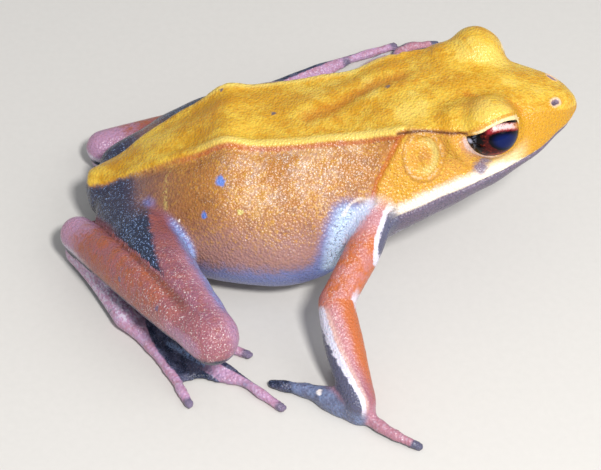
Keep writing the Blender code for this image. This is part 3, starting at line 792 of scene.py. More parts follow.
def skinFields(points):
    # smooth fields that the skin's paint reads: distances in mm from each marking, and weights
    x, y, z = points.T
    middle, wide, belly, foldUp = stationValues(points, [1, 7, 8, 4])
    fields = {"fold": foldDistance(points), "lip": lipHeight(points)}
    below = (z - belly) / np.maximum(wide - belly, 0.5)
    above = 1.0 + (z - wide) / np.maximum(foldUp - wide, 0.5)
    fields["low"] = np.where(z < wide, below, above)
    line = np.array(face["crease"])[::-1]
    fields["cheek"] = x - np.interp(z, line[:, 2], line[:, 0])
    for name in lines:
        fields[name] = lineDistance(points, name)
    fields["drum"] = drumPlace(points)
    fields["rim"] = np.minimum(rimDistance(points, "right")[0], rimDistance(points, "left")[0])
    fields["rimUp"] = np.where(y < headMiddle, onBall(points, "right")[1], onBall(points, "left")[1])
    jointsPassed = {"upperArm": -1.0, "forearm": 0.0, "thigh": -1.0, "shank": 0.0, "tarsus": 1.0}
    names = list(jointsPassed)
    near = {name: np.full(len(points), 9.0) for name in names}
    limb = {name: np.zeros(len(points)) for name in ("top", "front", "along")}
    far = {}
    for side in bothSides:
        sign = sideSign(side)
        own = (y - middle) * sign > -1.0
        knee = np.array(legs[side][2])
        thighWay = np.array(legs[side][1]) - knee
        shankWay = np.array(legs[side][3]) - knee
        halving = thighWay / np.linalg.norm(thighWay) - shankWay / np.linalg.norm(shankWay)
        upperHalf = np.clip((points - knee) @ halving / np.linalg.norm(halving), -1.0, 1.0)
        for name, (path, radii) in limbPaths(side).items():
            along, distance, outwards, front = nearestLimb(points, path, radii)
            if name in ("thigh", "shank"):
                distance = distance + upperHalf * (-0.05 if name == "thigh" else 0.05)
            best = own & (distance < np.minimum.reduce([near[other] for other in names]))
            near[name] = np.where(own, np.minimum(near[name], distance), near[name])
            found = {"top": outwards[:, 2], "front": front, "along": along + jointsPassed[name]}
            limb = {key: np.where(best, found[key], limb[key]) for key in limb}
        for name, value in digitFields(points, side).items():
            far[name] = np.minimum(far.get(name, 99.0), value)
    fields.update(limb)
    flat = smooth(4.2, 3.0, z)
    fields["handWeight"] = smooth(2.6, 2.0, far["hand"]) * flat
    fields["thumbWeight"] = smooth(2.4, 1.7, far["thumb"]) * flat
    fields["footWeight"] = smooth(2.4, 1.8, np.minimum(far["toe"], far["fan"] - 0.8)) * smooth(3.2, 2.4, z)
    fields.update({name: far[name] for name in ("toe", "toe5", "toeFar", "fingerFar")})
    closest = np.stack([near[name] for name in names]).argmin(axis=0)
    for number, name in enumerate(names):
        weight = smooth(*(thighEdge if name == "thigh" else limbEdge), near[name]) * (closest == number)
        trunkward = smooth(-0.9, -0.7, limb["along"])
        fields[name + "Weight"] = weight * (trunkward if name in ("upperArm", "thigh") else 1.0)
    fields["groove"] = legGroove(points, 0.6)
    armDistance = near["upperArm"] + 0.4 * (near["upperArm"] < near["forearm"])
    fields["arm"] = smooth(*limbEdge, np.minimum(armDistance, near["forearm"]))
    fields["leg"] = smooth(*limbEdge, near["shank"])
    return fields


def storeFields(mesh, fields):
    for name, values in fields.items():
        layer = mesh.attributes.new(name, "FLOAT", "POINT")
        layer.data.foreach_set("value", np.ascontiguousarray(values, np.float32))


print("skin: fields for the paint")
storeFields(skin.data, skinFields(plain))
writePoints(skin.data, (points - origin) * mm)
skin.data.shade_smooth()


class Tint:
    # wraps a socket: + - * / ** on it, and a number plus or minus it, add a Math node
    def __init__(self, paint, socket):
        self.paint = paint
        self.socket = socket

    def sum(self, operation, first, second):
        return self.paint.add("ShaderNodeMath", {"operation": operation}, {0: first, 1: second})

    def __add__(self, other):
        return self.sum("ADD", self, other)

    def __sub__(self, other):
        return self.sum("SUBTRACT", self, other)

    def __rsub__(self, other):
        return self.sum("SUBTRACT", other, self)

    def __mul__(self, other):
        return self.sum("MULTIPLY", self, other)

    def __truediv__(self, other):
        return self.sum("DIVIDE", self, other)

    def __pow__(self, other):
        return self.sum("POWER", self, other)

    __radd__ = __add__


class Paint:
    # a material, its colours by name, and its values by name: noises, places and the mesh's fields
    def __init__(self, name, look):
        self.material = bpy.data.materials.new(name)
        self.material.use_nodes = True
        self.tree = self.material.node_tree
        self.shader = self.tree.nodes["Principled BSDF"]
        self.look = look
        self.known = {}

    def __getitem__(self, name):
        if name not in self.known:
            self.known[name] = self.add("ShaderNodeAttribute", {"attribute_name": name}, {}, "Fac")
        return self.known[name]

    def put(self, socket, value):
        if isinstance(value, Tint):
            self.tree.links.new(value.socket, socket)
        else:
            socket.default_value = value

    def finish(self, values):
        for name, value in values.items():
            self.put(self.shader.inputs[name], value)
        return self.material

    def add(self, kind, settings, sockets, output=0):
        node = self.tree.nodes.new(kind)
        for key, value in settings.items():
            setattr(node, key, value)
        for key, value in sockets.items():
            self.put(node.inputs[key], value)
        return Tint(self, node.outputs[output])

    def shifted(self, value, shift=0.0):
        # a value or the one of that name, moved by the jitter
        value = self[value] if isinstance(value, str) else value
        return value + self["jitter"] * shift if shift else value

    def step(self, value, low, high, shift=0.0):
        # 0 at low and 1 at high, with an S between them; low may be the larger, and the jitter may shift it
        return self.add("ShaderNodeMapRange", {"interpolation_type": "SMOOTHSTEP"},
                        {"Value": self.shifted(value, shift), "From Min": low, "From Max": high})

    def within(self, value, middle, width, shift=0.0):
        # 1 at the middle and 0 beyond the width on either side
        away = self.shifted(value, shift) - middle
        away = self.add("ShaderNodeMath", {"operation": "ABSOLUTE"}, {0: away})
        return self.step(away, width, width * 0.25)

    def over(self, under, colour, mask):
        under, colour = [self.look[tone] if isinstance(tone, str) else tone for tone in (under, colour)]
        return self.add("ShaderNodeMix", {"data_type": "RGBA"}, {0: mask, 6: under, 7: colour}, 2)

    def lay(self, tone, *coats):
        # each coat: its colour, how far it covers, and the masks that are multiplied,
        # where one in brackets is a step: value, where it is 0, where it is 1, shift
        for colour, share, *masks in coats:
            masks = [self.step(*mask) if isinstance(mask, tuple) else self.shifted(mask) for mask in masks]
            cover = masks[0]
            for mask in masks[1:]:
                cover = cover * mask
            tone = self.over(tone, colour, cover if share == 1.0 else cover * share)
        return tone

    def noise(self, vector, scale, detail=3.0, rough=0.55):
        sockets = {"Vector": vector, "Scale": scale, "Detail": detail, "Roughness": rough}
        return self.add("ShaderNodeTexNoise", {}, sockets)

    def cells(self, vector, scale):
        sockets = {"Vector": vector, "Scale": scale}
        return self.add("ShaderNodeTexVoronoi", {"feature": "F1"}, sockets, "Distance")

    def axis(self, vector, number):
        return self.add("ShaderNodeSeparateXYZ", {}, {0: vector}, number)

    def vector(self, operation, sockets, output=0):
        return self.add("ShaderNodeVectorMath", {"operation": operation}, sockets, output)

    def spot(self, centre, radius, soft):
        # 1 inside a ball round a place on the frog, with an uneven edge
        place = tuple(float(v) for v in np.asarray(centre, float) - origin)
        far = self.vector("DISTANCE", {0: self.rough, 1: place}, "Value")
        return self.step(far, radius * (1.0 + soft), radius * (1.0 - soft))


def colour(red, green, blue):
    # a screen colour, 0 to 255, as the light that Blender's sockets take
    shares = [value / 255 for value in (red, green, blue)]
    return tuple(((v + 0.055) / 1.055) ** 2.4 if v > 10 / 255 else v / 12.92 for v in shares) + (1.0,)


skinLook = {
    "backYellow": colour(208, 152, 24),
    "backOrange": colour(196, 118, 22),
    "backPale": colour(232, 196, 70),
    "backRear": colour(196, 142, 14),
    "foldPale": colour(240, 214, 116),
    "foldRed": colour(184, 84, 36),
    "flank": colour(184, 122, 58),
    "flankGold": colour(204, 148, 48),
    "flankDark": colour(126, 76, 40),
    "flankPale": colour(238, 210, 194),
    "lowerFlank": colour(160, 120, 120),
    "bellyBlue": colour(106, 126, 186),
    "belly": colour(168, 166, 182),
    "bellyDark": colour(88, 86, 106),
    "cheek": colour(216, 156, 60),
    "cheekDark": colour(160, 98, 44),
    "seam": colour(92, 44, 20),
    "lip": colour(244, 230, 214),
    "jaw": colour(114, 100, 120),
    "arm": colour(192, 104, 56),
    "armPink": colour(190, 128, 132),
    "shoulder": colour(186, 132, 142),
    "slate": colour(90, 90, 114),
    "slateBlue": colour(120, 132, 166),
    "white": colour(222, 218, 234),
    "thigh": colour(132, 78, 88),
    "thighPink": colour(154, 98, 116),
    "shank": colour(166, 90, 60),
    "footPink": colour(178, 122, 138),
    "night": colour(34, 42, 66),
    "sky": colour(146, 172, 218),
    "mauve": colour(104, 82, 100),
    "blueSpot": colour(84, 138, 228),
    "lemon": colour(214, 200, 118),
    "black": colour(10, 8, 10),
    # painted highlight: the colour of the white glints painted on the skin
    "glint": colour(250, 240, 236),
    "cream": colour(246, 226, 176),
    "lavender": colour(196, 158, 196),
    "patch": colour(112, 96, 126),
    "ice": colour(196, 216, 242),
}
marks = {   # place on the frog and radius in mm
    "blueSpot": [((18.0, -10.9, 18.9), 0.75), ((15.8, -13.3, 14.8), 0.5)],
    "lemon": [((14.5, -8.0, 17.6), 0.4), ((31.6, -13.2, 17.4), 0.4), ((20.7, -14.5, 16.3), 0.4),
              ((24.6, -16.6, 12.8), 0.35)],
    "lip": [((12.1, -12.2, 12.8), 0.2)],
    "patch": [((3.8, -21.8, 11.0), 0.36), ((9.3, -28.9, 12.3), 0.4)],
    "bellyDark": [((25.6, -1.4, 22.9), 0.4), ((18.5, 5.1, 22.0), 0.35), ((41.6, -1.2, 27.2), 0.35),
                  ((52.6, 5.2, 31.0), 0.35)],
    "cheekDark": [((29.6, -14.0, 16.8), 0.55), ((31.0, -16.0, 13.6), 0.45), ((13.2, -14.6, 12.2), 0.6)],
}


def paintBack(p):
    # golden yellow with orange streaks along it, paler clouds, fine dark dust, and painted shade along the
    # lid's crease
    drawn = {"Vector": p.place, "Rotation": (0.0, 0.0, 0.1), "Scale": (0.16, 0.55, 0.4)}
    streaks = p.noise(p.add("ShaderNodeMapping", {}, drawn), 1.0, 5.0, 0.65) + (p["fine"] - 0.5) * 0.3
    pale = p["broad"] * 0.5 + p["patchy"] * 0.3 + p["fine"] * 0.2 + p.step("x", 20.0, 52.0) * 0.05
    return p.lay(
        "backYellow",
        ("backRear", 1.0, ("x", 24.0, 10.0, 4.0)),
        ("backOrange", 0.7, (streaks, 0.46, 0.78)),
        ("backPale", 0.8, (pale, 0.44, 0.6)),
        ("foldPale", 0.4, ("broad", 0.5, 0.62, 0.1), ("x", 26.0, 36.0)),
        ("foldPale", 0.35, ("specks", 0.8, 0.94), ("x", 20.0, 34.0)),
        ("backOrange", 0.7, ("furrow", 1.9, 0.2, 1.2)),
        # orange-brown along the lid's crease: painted shade in the crease
        ("backOrange", 0.6, ("lidCrease", 0.9, 0.1, 0.6)),
        ("backOrange", 0.5, p.spot((53.0, -8.6, 29.6), 1.6, 1.2)),
        ("backOrange", 0.5, p.spot((58.0, -9.6, 29.8), 1.0, 1.2)),
        ("backOrange", 0.5, ("dust", 0.5, 0.7)),
        ("cheekDark", 0.4, (p["dust"] + p["patchy"] * 0.4, 0.88, 0.98)),
    )


def paintFlank(p, under):
    # granular orange-brown with golden grains, and painted highlights on its upper part: pale dots at the
    # grains, a pale sheen and white glints; pinker and then blue towards the belly
    patches = p.step("patchy", 0.3, 0.6)
    shine = p.step("low", 1.4, 1.76, 0.2) * p.step("x", 14.0, 24.0) * p.step("x", 42.0, 34.0)
    return p.lay(
        "flank",
        ("flankDark", 0.7, ("patchy", 0.45, 0.72)),
        ("flankGold", 0.8, (p["fine"] + (p["broad"] - 0.5), 0.44, 0.62)),
        ("flankDark", 0.45, ("dust", 0.5, 0.68)),
        # pale dots at the grains: painted glints
        ("flankPale", 0.65, ("grains", 0.34, 0.1), ("low", 1.2, 1.8, 0.3), ("x", 8.0, 20.0), patches),
        # a pale cloud where the light shines: painted sheen
        ("flankPale", 0.4, shine, (p["patchy"] + p["broad"], 0.8, 1.3)),
        # white dots: painted glints, denser in the sheen
        ("glint", 1.0, "sparkle", shine * patches * 0.8 + 0.12),
        ("lowerFlank", 0.85, ("low", 1.66, 1.16, 0.35)),
        ("flankGold", 0.7, (p["dust"] + p["fine"] * 0.6, 0.86, 0.98), ("low", 1.0, 1.3)),
        ("bellyBlue", 0.85, ("low", 1.08, 0.76, 0.3)),
        (under, 1.0, ("low", 0.5, 0.25, 0.1)),
    )


def paintHead(p, tone, under):
    # side of the head, the dark seam over it, the crease behind it, the eardrum and the lips
    side = p.lay(
        "cheek",
        ("backYellow", 0.7, ("patchy", 0.42, 0.62)),
        ("backPale", 0.6, ("fine", 0.5, 0.7)),
        ("backYellow", 1.0, ("x", 55.0, 59.0)),
        ("cheekDark", 0.75, ("dust", 0.52, 0.68)),
    )
    ring = p["drum"] + p["jitter"] * 0.05
    inner = p.lay(
        side,
        ("lemon", 0.7, p.within(ring, 0.62, 0.26, 0.1), ("x", 45.0, 46.6, 2.0)),
        ("cheekDark", 0.5, (ring, 0.42, 0.05, 0.5)),
    )
    onHead = p.step("cheek", -0.4, 0.4)
    rise = p.step("x", 61.0, 56.0) * 1.5 + 0.25
    band = (p["lip"] + p["jitter"] * 0.9 - 0.2) / rise
    patch = p.add("ShaderNodeMath", {"operation": "MAXIMUM"},
                  {0: p.spot((54.4, -12.0, 23.1), 0.95, 0.5), 1: p.spot((53.9, -12.6, 22.0), 1.0, 0.5)})
    return p.lay(
        tone,
        (side, 1.0, ("cheek", -0.1, 0.25), ("fold", 0.1, 0.6)),
        (inner, 0.8, (ring, 0.95, 0.8)),
        ("flankPale", 0.35, p.within(ring, 0.95, 0.12, 0.03), ("fine", 0.46, 0.6)),
        ("cheekDark", 0.35, p.within(ring, 1.08, 0.08, 0.04)),
        ("foldRed", 0.6, ("crease", 0.5, 0.15, 0.15)),
        ("cheekDark", 0.7, ("seam", 0.5, 0.15, 0.25)),
        ("seam", 0.8, ("seam", 0.22, 0.08, 0.08)),
        ("cream", 0.7, ("x", 53.4, 55.6), ("x", 61.5, 58.5), ("lip", 3.6, 1.6, 1.0), onHead),
        ("lip", 1.0, (band, 1.25, 0.5), onHead),
        ("lip", 0.8, ("lip", 0.42, 0.2, 0.1), onHead),
        ("patch", 0.9, patch),
        ("glint", 0.4, patch, ("dust", 0.54, 0.64)),
        ("jaw", 1.0, ("lip", 0.02, -0.14, 0.12), onHead),
        ("bellyDark", 0.5, ("lip", -0.1, -0.3), onHead, ("fine", 0.45, 0.6)),
        (under, 0.8, ("lip", -2.2, -4.5), onHead),
    )


def paintArms(p, tone):
    # orange above with painted glints along its ridge, a jagged white band, then slate underneath; a
    # slate-blue thumb with a painted highlight, and pink fingers
    front, along, jitter, fine = [p[name] for name in ("front", "along", "jitter", "fine")]
    upper = along + 1.0
    inside = p.step("front", 0.8, 0.92, 0.12) * 0.9
    edge = front - p.step(upper, 0.4, 0.8) * 0.8 + jitter * 0.24
    upperArm = p.lay(
        "arm",
        ("armPink", 0.6, ("mottle", 0.55, 0.8)),
        # painted glints along the upper arm's ridge
        ("glint", 0.5, "sparkle", p.within("front", -0.1, 0.6, 0.3)),
        ("shoulder", 0.85, (upper + front * 0.06, 0.5, 0.36, 0.16)),
        ("ice", 0.8, (upper + front * 0.25, 0.34, 0.2, 0.16)),
        ("white", 1.0, (edge, 0.46, 0.56)),
        ("slate", 1.0, (edge, 0.7, 0.78)),
        ("white", 1.0, inside, (upper, 0.8, 0.92, 0.1)),
        ("slate", 1.0, ("top", -0.3, -0.45, 0.2)),
    )
    edge = front + 1.02 - along * 0.6 - along**4.0 * 0.3 + jitter * 0.16
    forearm = p.lay(
        "arm",
        ("armPink", 1.0, (front + jitter * 0.5 - along * 0.4, 0.3, -0.3), ("along", -0.1, 0.15)),
        ("thighPink", 0.85, (along + jitter * 0.2 - front * 0.2, 0.5, 0.95)),
        # painted glints along the forearm
        ("glint", 0.5, "sparkle", p.within("front", -0.2, 0.5, 0.3), ("along", 0.7, 0.4)),
        ("flankPale", 0.5, (edge, 0.55, 0.25), ("along", 0.0, 0.15)),
        ("white", 1.0, (edge, 0.26, 0.14), ("along", -0.02, 0.08)),
        ("slate", 1.0, (edge + (fine - 0.5) * 0.15, -0.06, -0.16)),
        ("white", 1.0, inside, ("along", 0.16, 0.06, 0.1)),
        ("slate", 1.0, ("top", -0.35, -0.5, 0.2)),
    )
    finger = p.lay(
        "footPink",
        ("white", 0.3, ("fine", 0.5, 0.7)),
        ("slate", 1.0, ("fingerFar", 1.5, 0.9, 0.6)),
        ("slate", 1.0, ("z", 0.75, 0.4, 0.3)),
    )
    thumb = p.lay(
        "slateBlue",
        ("slate", 0.8, ("clouds", 0.6, 0.9)),
        ("white", 0.5, (fine + p["patchy"], 1.2, 1.28)),
        # a painted highlight on the thumb
        ("glint", 0.9, p.spot((31.0, -35.8, 2.2), 0.45, 0.25)),
        ("white", 0.6, ("fingerFar", 2.2, 1.2, 1.0)),
    )
    return p.lay(
        tone,
        ("arm", 1.0, "arm"),
        (upperArm, 1.0, "upperArmWeight"),
        (forearm, 1.0, "forearmWeight"),
        ("slate", 1.0, "handWeight", 1.0 - p["forearmWeight"]),
        (finger, 1.0, "handWeight", ("fingerFar", 9.2, 7.8, 1.0)),
        (thumb, 1.0, "thumbWeight"),
    )


def paintLegs(p, tone):
    # maroon thigh with a pale blue front edge and a dark speckled rear, russet shank, both with painted
    # glints, painted shade in the groove between them, pink outer toe, dark webs with a pale line, and slate
    # undersides behind a jagged white band
    front, along, jitter, fine, dust = [p[name] for name in ("front", "along", "jitter", "fine", "dust")]
    upper = along + 1.0
    dots = p.step("glints", 0.4, 0.24) * p.step("fine", 0.38, 0.48)
    outer = front + upper * 0.3 - 0.15 + jitter * 0.3
    margin = p.step(outer, 0.5, 0.8) * p.step(upper, 1.02, 0.85, 0.1)
    thigh = p.lay(
        "thigh",
        ("thighPink", 0.8, (upper, 0.4, 0.85, 0.25)),
        ("shank", 0.4, ("mottle", 0.6, 0.85)),
        # painted glints on the thigh towards the knee
        ("glint", 0.6, "sparkle", p.step(upper, 0.35, 0.7) * p.step("front", 0.8, 0.2)),
        ("lavender", 0.45, ("front", 0.0, 0.8, 0.4), (upper, 0.35, 0.7)),
        ("bellyBlue", 0.7, margin),
        ("sky", 0.8, margin, (outer, 0.68, 0.9), (fine + dust * 0.5, 0.62, 0.86)),
        (p.lay("night", ("sky", 0.8, dots)), 1.0, (upper * 1.6 + front * 0.9, 0.72, 0.52, 0.2)),
        ("slate", 1.0, ("top", -0.2, -0.4, 0.2)),
    )
    shank = p.lay(
        "shank",
        ("thighPink", 0.7, ("along", 0.34, 0.0, 0.25)),
        ("thigh", 0.75, ("front", -0.3, 0.6, 0.5)),
        ("thighPink", 0.55, ("clouds", 0.58, 0.9)),
        ("thigh", 0.5, (dust + p["patchy"] * 0.5, 0.78, 0.92)),
        # painted glints on the shank
        ("glint", 0.6, "sparkle", ("along", 0.75, 0.25)),
        ("lavender", 0.5, ("front", -0.85, -1.0, 0.2), ("along", 0.3, 0.05)),
        ("lavender", 0.6, ("along", 0.8, 0.98, 0.2)),
        ("white", 0.7, ("top", 0.18, -0.12, 0.5), ("along", 0.7, 0.95)),
        ("night", 1.0, ("top", -0.14, -0.4, 0.4)),
    )
    outerPink = p.over("footPink", "lavender", p.step("mottle", 0.4, 0.9) * 0.7 + 0.15)
    tarsus = p.lay(
        outerPink,
        ("lavender", 0.3, ("front", 0.3, -0.6, 0.4)),
        ("white", 0.7, ("fine", 0.42, 0.66, 0.4)),
        ("white", 0.6, p.within("front", 0.6, 0.2, 0.12)),
        ("night", 1.0, ("front", 0.74, 0.86, 0.12)),
        ("slate", 1.0, ("top", -0.3, -0.5, 0.2)),
    )
    pinkToe = p.lay(outerPink, ("white", 0.3, ("fine", 0.5, 0.7)))
    web = p.lay(
        "night",
        ("slate", 0.8, ("patchy", 0.4, 0.62)),
        ("slateBlue", 0.5, dots),
        ("sky", 0.85, ("toe", 0.85, 0.5, 0.5), ("toeFar", 5.5, 7.0), (fine + dust * 0.4, 0.56, 0.8)),
        (pinkToe, 1.0, ("toe", 1.25, 1.0, 0.2), ("toeFar", 7.0, 5.5, 1.0)),
        (pinkToe, 1.0, ("toe5", 1.25, 1.0, 0.3)),
        ("slate", 0.8, ("toeFar", 1.3, 0.7, 0.5)),
    )
    return p.lay(
        tone,
        ("thigh", 1.0, "leg"),
        (thigh, 1.0, "thighWeight"),
        (shank, 1.0, "shankWeight"),
        # the groove where thigh and shank press together darkened: painted shade
        ("seam", 0.6, ("groove", 0.6, 1.1, 0.3)),
        (tarsus, 1.0, "tarsusWeight"),
        (web, 1.0, "footWeight"),
    )


def paintTrunk(p, under):
    # back and flank with the pale fold between them, painted shade on the flank's rear, the dark rear and
    # the pale hollow behind the arm
    jitter = p["jitter"]
    rear = p.step("x", 8.5, 3.5, 1.5) * p.step("fold", 0.3, 1.2, 1.0)
    pocket = p["pocket"] + jitter * 0.8
    return p.lay(
        paintBack(p),
        (paintFlank(p, under), 1.0, ("fold", 0.2, 0.75, 0.6)),
        ("foldPale", 0.7, p.within("fold", -0.15, 0.95), ("x", 12.0, 19.0, 1.0), ("x", 48.0, 38.0)),
        ("foldRed", 0.6, p.within("fold", 0.75, 0.5, 0.3), ("x", 9.0, 17.0), ("cheek", 0.6, -0.2)),
        # the flank darkened towards the rear: painted shade
        ("flankDark", 0.5, ("x", 21.0, 9.0, 4.0), ("fold", 0.6, 1.6, 1.0)),
        ("mauve", 0.5, ("x", 15.0, 6.0, 2.0), ("fold", 0.6, 2.0, 1.0)),
        ("mauve", 0.9, rear),
        ("night", 0.9, rear, (p["low"] + jitter * 0.6 - p.step("x", 6.5, 3.0) * 1.5, 2.0, 1.5)),
        ("sky", 0.8, rear, "sparkle"),
        ("lemon", 0.6, ("streak", 0.6, 0.2, 1.4), ("clouds", 0.7, 0.86)),
        ("blueSpot", 0.5, p.spot((8.0, -8.6, 12.6), 0.9, 0.9)),
        ("bellyBlue", 0.8, (pocket, 3.6, 1.6)),
        ("ice", 0.9, (pocket, 2.4, 0.8)),
        ("slate", 0.85, (pocket, 2.0, 1.2), ("specks", 0.79, 0.88)),
        ("lip", 0.55, ("pocketEdge", 0.36, 0.1, 0.5)),
    )


def paintFace(p, tone):
    # nostrils, with painted shade in their holes, and the edges of the lids, with painted shade where the
    # skin turns in behind the ball
    lower = p.step("rimUp", 0.2, -0.6) * p.step("x", 57.0, 54.5)
    return p.lay(
        tone,
        ("flankPale", 0.6, ("nostril", 0.85, 0.5)),
        ("patch", 0.9, ("nostril", 0.52, 0.26, 0.15)),
        # dark middle of each nostril: painted shade in the hole
        ("black", 0.45, ("nostril", 0.24, 0.1)),
        ("cream", 0.8, ("rim", 0.36, 0.18, 0.1), ("rimUp", 0.6, 1.2)),
        ("shoulder", 0.3, ("rim", 0.42, 0.2, 0.1), lower),
        ("white", 0.4, p.within("rim", 0.06, 0.16), lower),
        # black where the skin turns in behind the ball: painted shade in the opening
        ("black", 1.0, ("rim", -0.08, -0.18)),
    )


def paintSkin():
    p = Paint("frog_skin_wet", skinLook)
    place = p.add("ShaderNodeTexCoord", {}, {}, "Object")
    place = p.vector("SCALE", {0: place, "Scale": 1.0 / mm})
    wobble = p.add("ShaderNodeTexNoise", {}, {"Vector": place, "Scale": 1.6}, "Color")
    wobble = p.vector("MULTIPLY_ADD", {0: wobble, 1: (0.9,) * 3, 2: (-0.45,) * 3})
    p.place = place
    p.rough = p.vector("ADD", {0: place, 1: wobble})
    fine = p.noise(place, 2.0, 3.0, 0.6)
    patchy = p.noise(place, 0.6, 4.0)
    dust = p.noise(place, 6.5, 2.0, 0.6)
    p.known = {
        "x": p.axis(place, 0) + float(origin[0]),
        "z": p.axis(place, 2),
        "broad": p.noise(place, 0.16, 3.0),
        "patchy": patchy,
        "fine": fine,
        "dust": dust,
        "grains": p.cells(place, 2.7),
        "glints": p.cells(p.rough, 3.5),
        "mottle": patchy + fine * 0.4,
        "clouds": patchy + fine * 0.5,
        "specks": dust + fine * 0.5,
        "jitter": (fine - 0.5) * 0.9 + (patchy - 0.5) * 0.9,
    }
    # where white glints are painted as highlights: small dots at the glint cells
    p.known["sparkle"] = p.step("glints", 0.42, 0.18) * p.step("fine", 0.4, 0.56)

    under = p.lay("belly", ("bellyDark", 0.8, (p.noise(place, 0.5, 4.0, 0.65), 0.48, 0.62)))
    tone = paintHead(p, paintTrunk(p, under), under)
    tone = paintLegs(p, paintArms(p, tone))
    for name, spots in marks.items():
        tone = p.lay(tone, *[(name, 0.85, p.spot(centre, radius, 0.35)) for centre, radius in spots])
    # wet, finely granular: grains stand up and each catches the light
    relief = p["grains"] * -0.9 + dust * 0.18 + fine * 0.7
    return p.finish({
        "Base Color": paintFace(p, tone),
        "Normal": p.add("ShaderNodeBump", {}, {"Strength": 1.0, "Distance": 0.00014, "Height": relief}),
        "Roughness": 0.34 - p.step("fine", 0.4, 0.7) * 0.1,
        "Subsurface Weight": 0.1,
        "Subsurface Radius": (1.0, 0.4, 0.2),
        "Subsurface Scale": 0.0006,
    })


skin.data.materials.clear()
skin.data.materials.append(paintSkin())
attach(skin, "root")
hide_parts(*[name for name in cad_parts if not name.startswith("eye_")])
print("skin: painted")

eyeLook = {
    "pupil": colour(12, 26, 78),
    "pupilEdge": colour(6, 5, 14),
    "iris": colour(70, 16, 16),
    "irisBright": colour(170, 66, 40),
    "band": colour(232, 192, 190),
    "red": colour(150, 40, 48),
    "gold": colour(196, 130, 60),
    # the colour of the painted highlight and reflections
    "white": colour(200, 208, 236),
    "black": colour(7, 5, 7),
    "pupilPlace": (1.5, -0.35),
    "pupilSize": (2.6, 1.5),
    "pupilTilt": 0.21,
    "bulge": 0.035,
    "span": 10.0,   # millimetres across the eye's UV square
}


def eyeSurface(side):
    # an ellipsoid round the line of sight, with the cornea a little proud of it
    centre, ahead, up, look = eyeFrame(side)
    tilt = np.linspace(0.0, math.pi, 66)[1:-1][:, None]
    turn = np.linspace(0.0, 2.0 * math.pi, 96, endpoint=False)[None, :]
    out = np.cos(tilt) * np.ones_like(turn)
    forward = np.sin(tilt) * np.cos(turn)
    rise = np.sin(tilt) * np.sin(turn)
    grow = 1.0 + eyeLook["bulge"] * hump(np.hypot(forward - 0.12, rise + 0.08), 0.5) * (out > 0)
    shape = np.stack([forward, rise, out], axis=-1) * eye["radii"] * grow[..., None]
    turned = centre + shape @ np.stack([ahead, up, look])
    poles = [centre + look * eye["radii"][2] * (1.0 + eyeLook["bulge"]), centre - look * eye["radii"][2]]
    return closedTube(turned, *poles)


def makeEye(side):
    points, faces = eyeSurface(side)
    centre, ahead, up, _ = eyeFrame(side)
    mesh = bpy.data.meshes.new("frog_eye_" + side)
    mesh.from_pydata(((points - origin) * mm).tolist(), [], faces)
    work = bmesh.new()
    work.from_mesh(mesh)
    bmesh.ops.recalc_face_normals(work, faces=work.faces)
    work.to_mesh(mesh)
    work.free()
    corners = np.empty(len(mesh.loops), np.int32)
    mesh.loops.foreach_get("vertex_index", corners)
    place = points[corners] - centre
    flat = np.stack([place @ ahead, place @ up], axis=1) / eyeLook["span"] + 0.5
    mesh.uv_layers.new(name="EyeMap").data.foreach_set("uv", flat.astype(np.float32).ravel())
    mesh.shade_smooth()
    made = addObject("frog_eye_" + side, mesh)
    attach(made, "root")
    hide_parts("eye_" + side)
    return made


def paintEye():
    look = eyeLook
    p = Paint("frog_eye_glassy", look)
    flat = p.add("ShaderNodeUVMap", {"uv_map": "EyeMap"}, {})
    ahead, up = [(p.axis(flat, number) - 0.5) * look["span"] for number in (0, 1)]
    grain = p.noise(flat, 42.0, 3.0, 0.6)
    fibres = p.noise(flat, 22.0, 4.0, 0.65)
    pupilAhead = ahead - look["pupilPlace"][0]
    pupilUp = up - look["pupilPlace"][1] + pupilAhead * look["pupilTilt"]
    far = ((pupilAhead / look["pupilSize"][0]) ** 2.0 + (pupilUp / look["pupilSize"][1]) ** 2.0) ** 0.5
    # the band over the pupil bends down to the front; a thin black line under the lid is the lid's painted
    # shadow
    above = up - 1.82 + (ahead - 0.6) ** 2.0 * 0.115
    below = up + 2.3 - ahead**2.0 * 0.05
    corner = ((ahead + 3.3) ** 2.0 + ((up + 0.5) * 0.7) ** 2.0) ** 0.5
    band = p.lay(
        "band",
        ("gold", 1.0, (ahead + (fibres - 0.5) * 3.0, 2.0, 3.4)),
        ("iris", 0.8, (fibres, 0.54, 0.62)),
        ("gold", 0.8, (grain, 0.58, 0.68)),
    )
    tone = p.lay(
        "iris",
        ("irisBright", 0.5, (fibres, 0.52, 0.74)),
        ("black", 0.7, (fibres, 0.5, 0.36)),
        ("black", 1.0, (ahead + (fibres - 0.5) * 1.6, -1.2, -2.2)),
        # pale streaks in the dark rear part: painted reflections
        ("white", 0.22, p.within(ahead + (grain - 0.5) * 1.2, -2.75, 0.3), (grain, 0.45, 0.6)),
        ("pupilEdge", 1.0, (far + (fibres - 0.5) * 0.1, 1.06, 0.96)),
        ("pupil", 1.0, (far, 0.95, 0.45)),
        ("red", 1.0, p.within(above + (grain - 0.5) * 0.5, -0.1, 0.6), (ahead, -1.5, -1.0)),
        (band, 1.0, p.within(above + (grain - 0.5) * 0.3, 0.0, 0.5), (ahead + (grain - 0.5), -0.8, -0.3)),
        # black over the band, under the lid: painted shadow
        ("black", 1.0, (above, 0.36, 0.5)),
        ("irisBright", 0.8, p.within(below, 0.0, 0.16), (ahead, -1.2, -0.4)),
        # a white spot near the rear corner: painted highlight
        ("white", 0.85, (corner, 0.36, 0.1)),
    )
    return p.finish({
        "Base Color": tone,
        "Roughness": 0.05 + grain * 0.05,
        "Specular IOR Level": 0.3,
        "IOR": 1.3,
    })


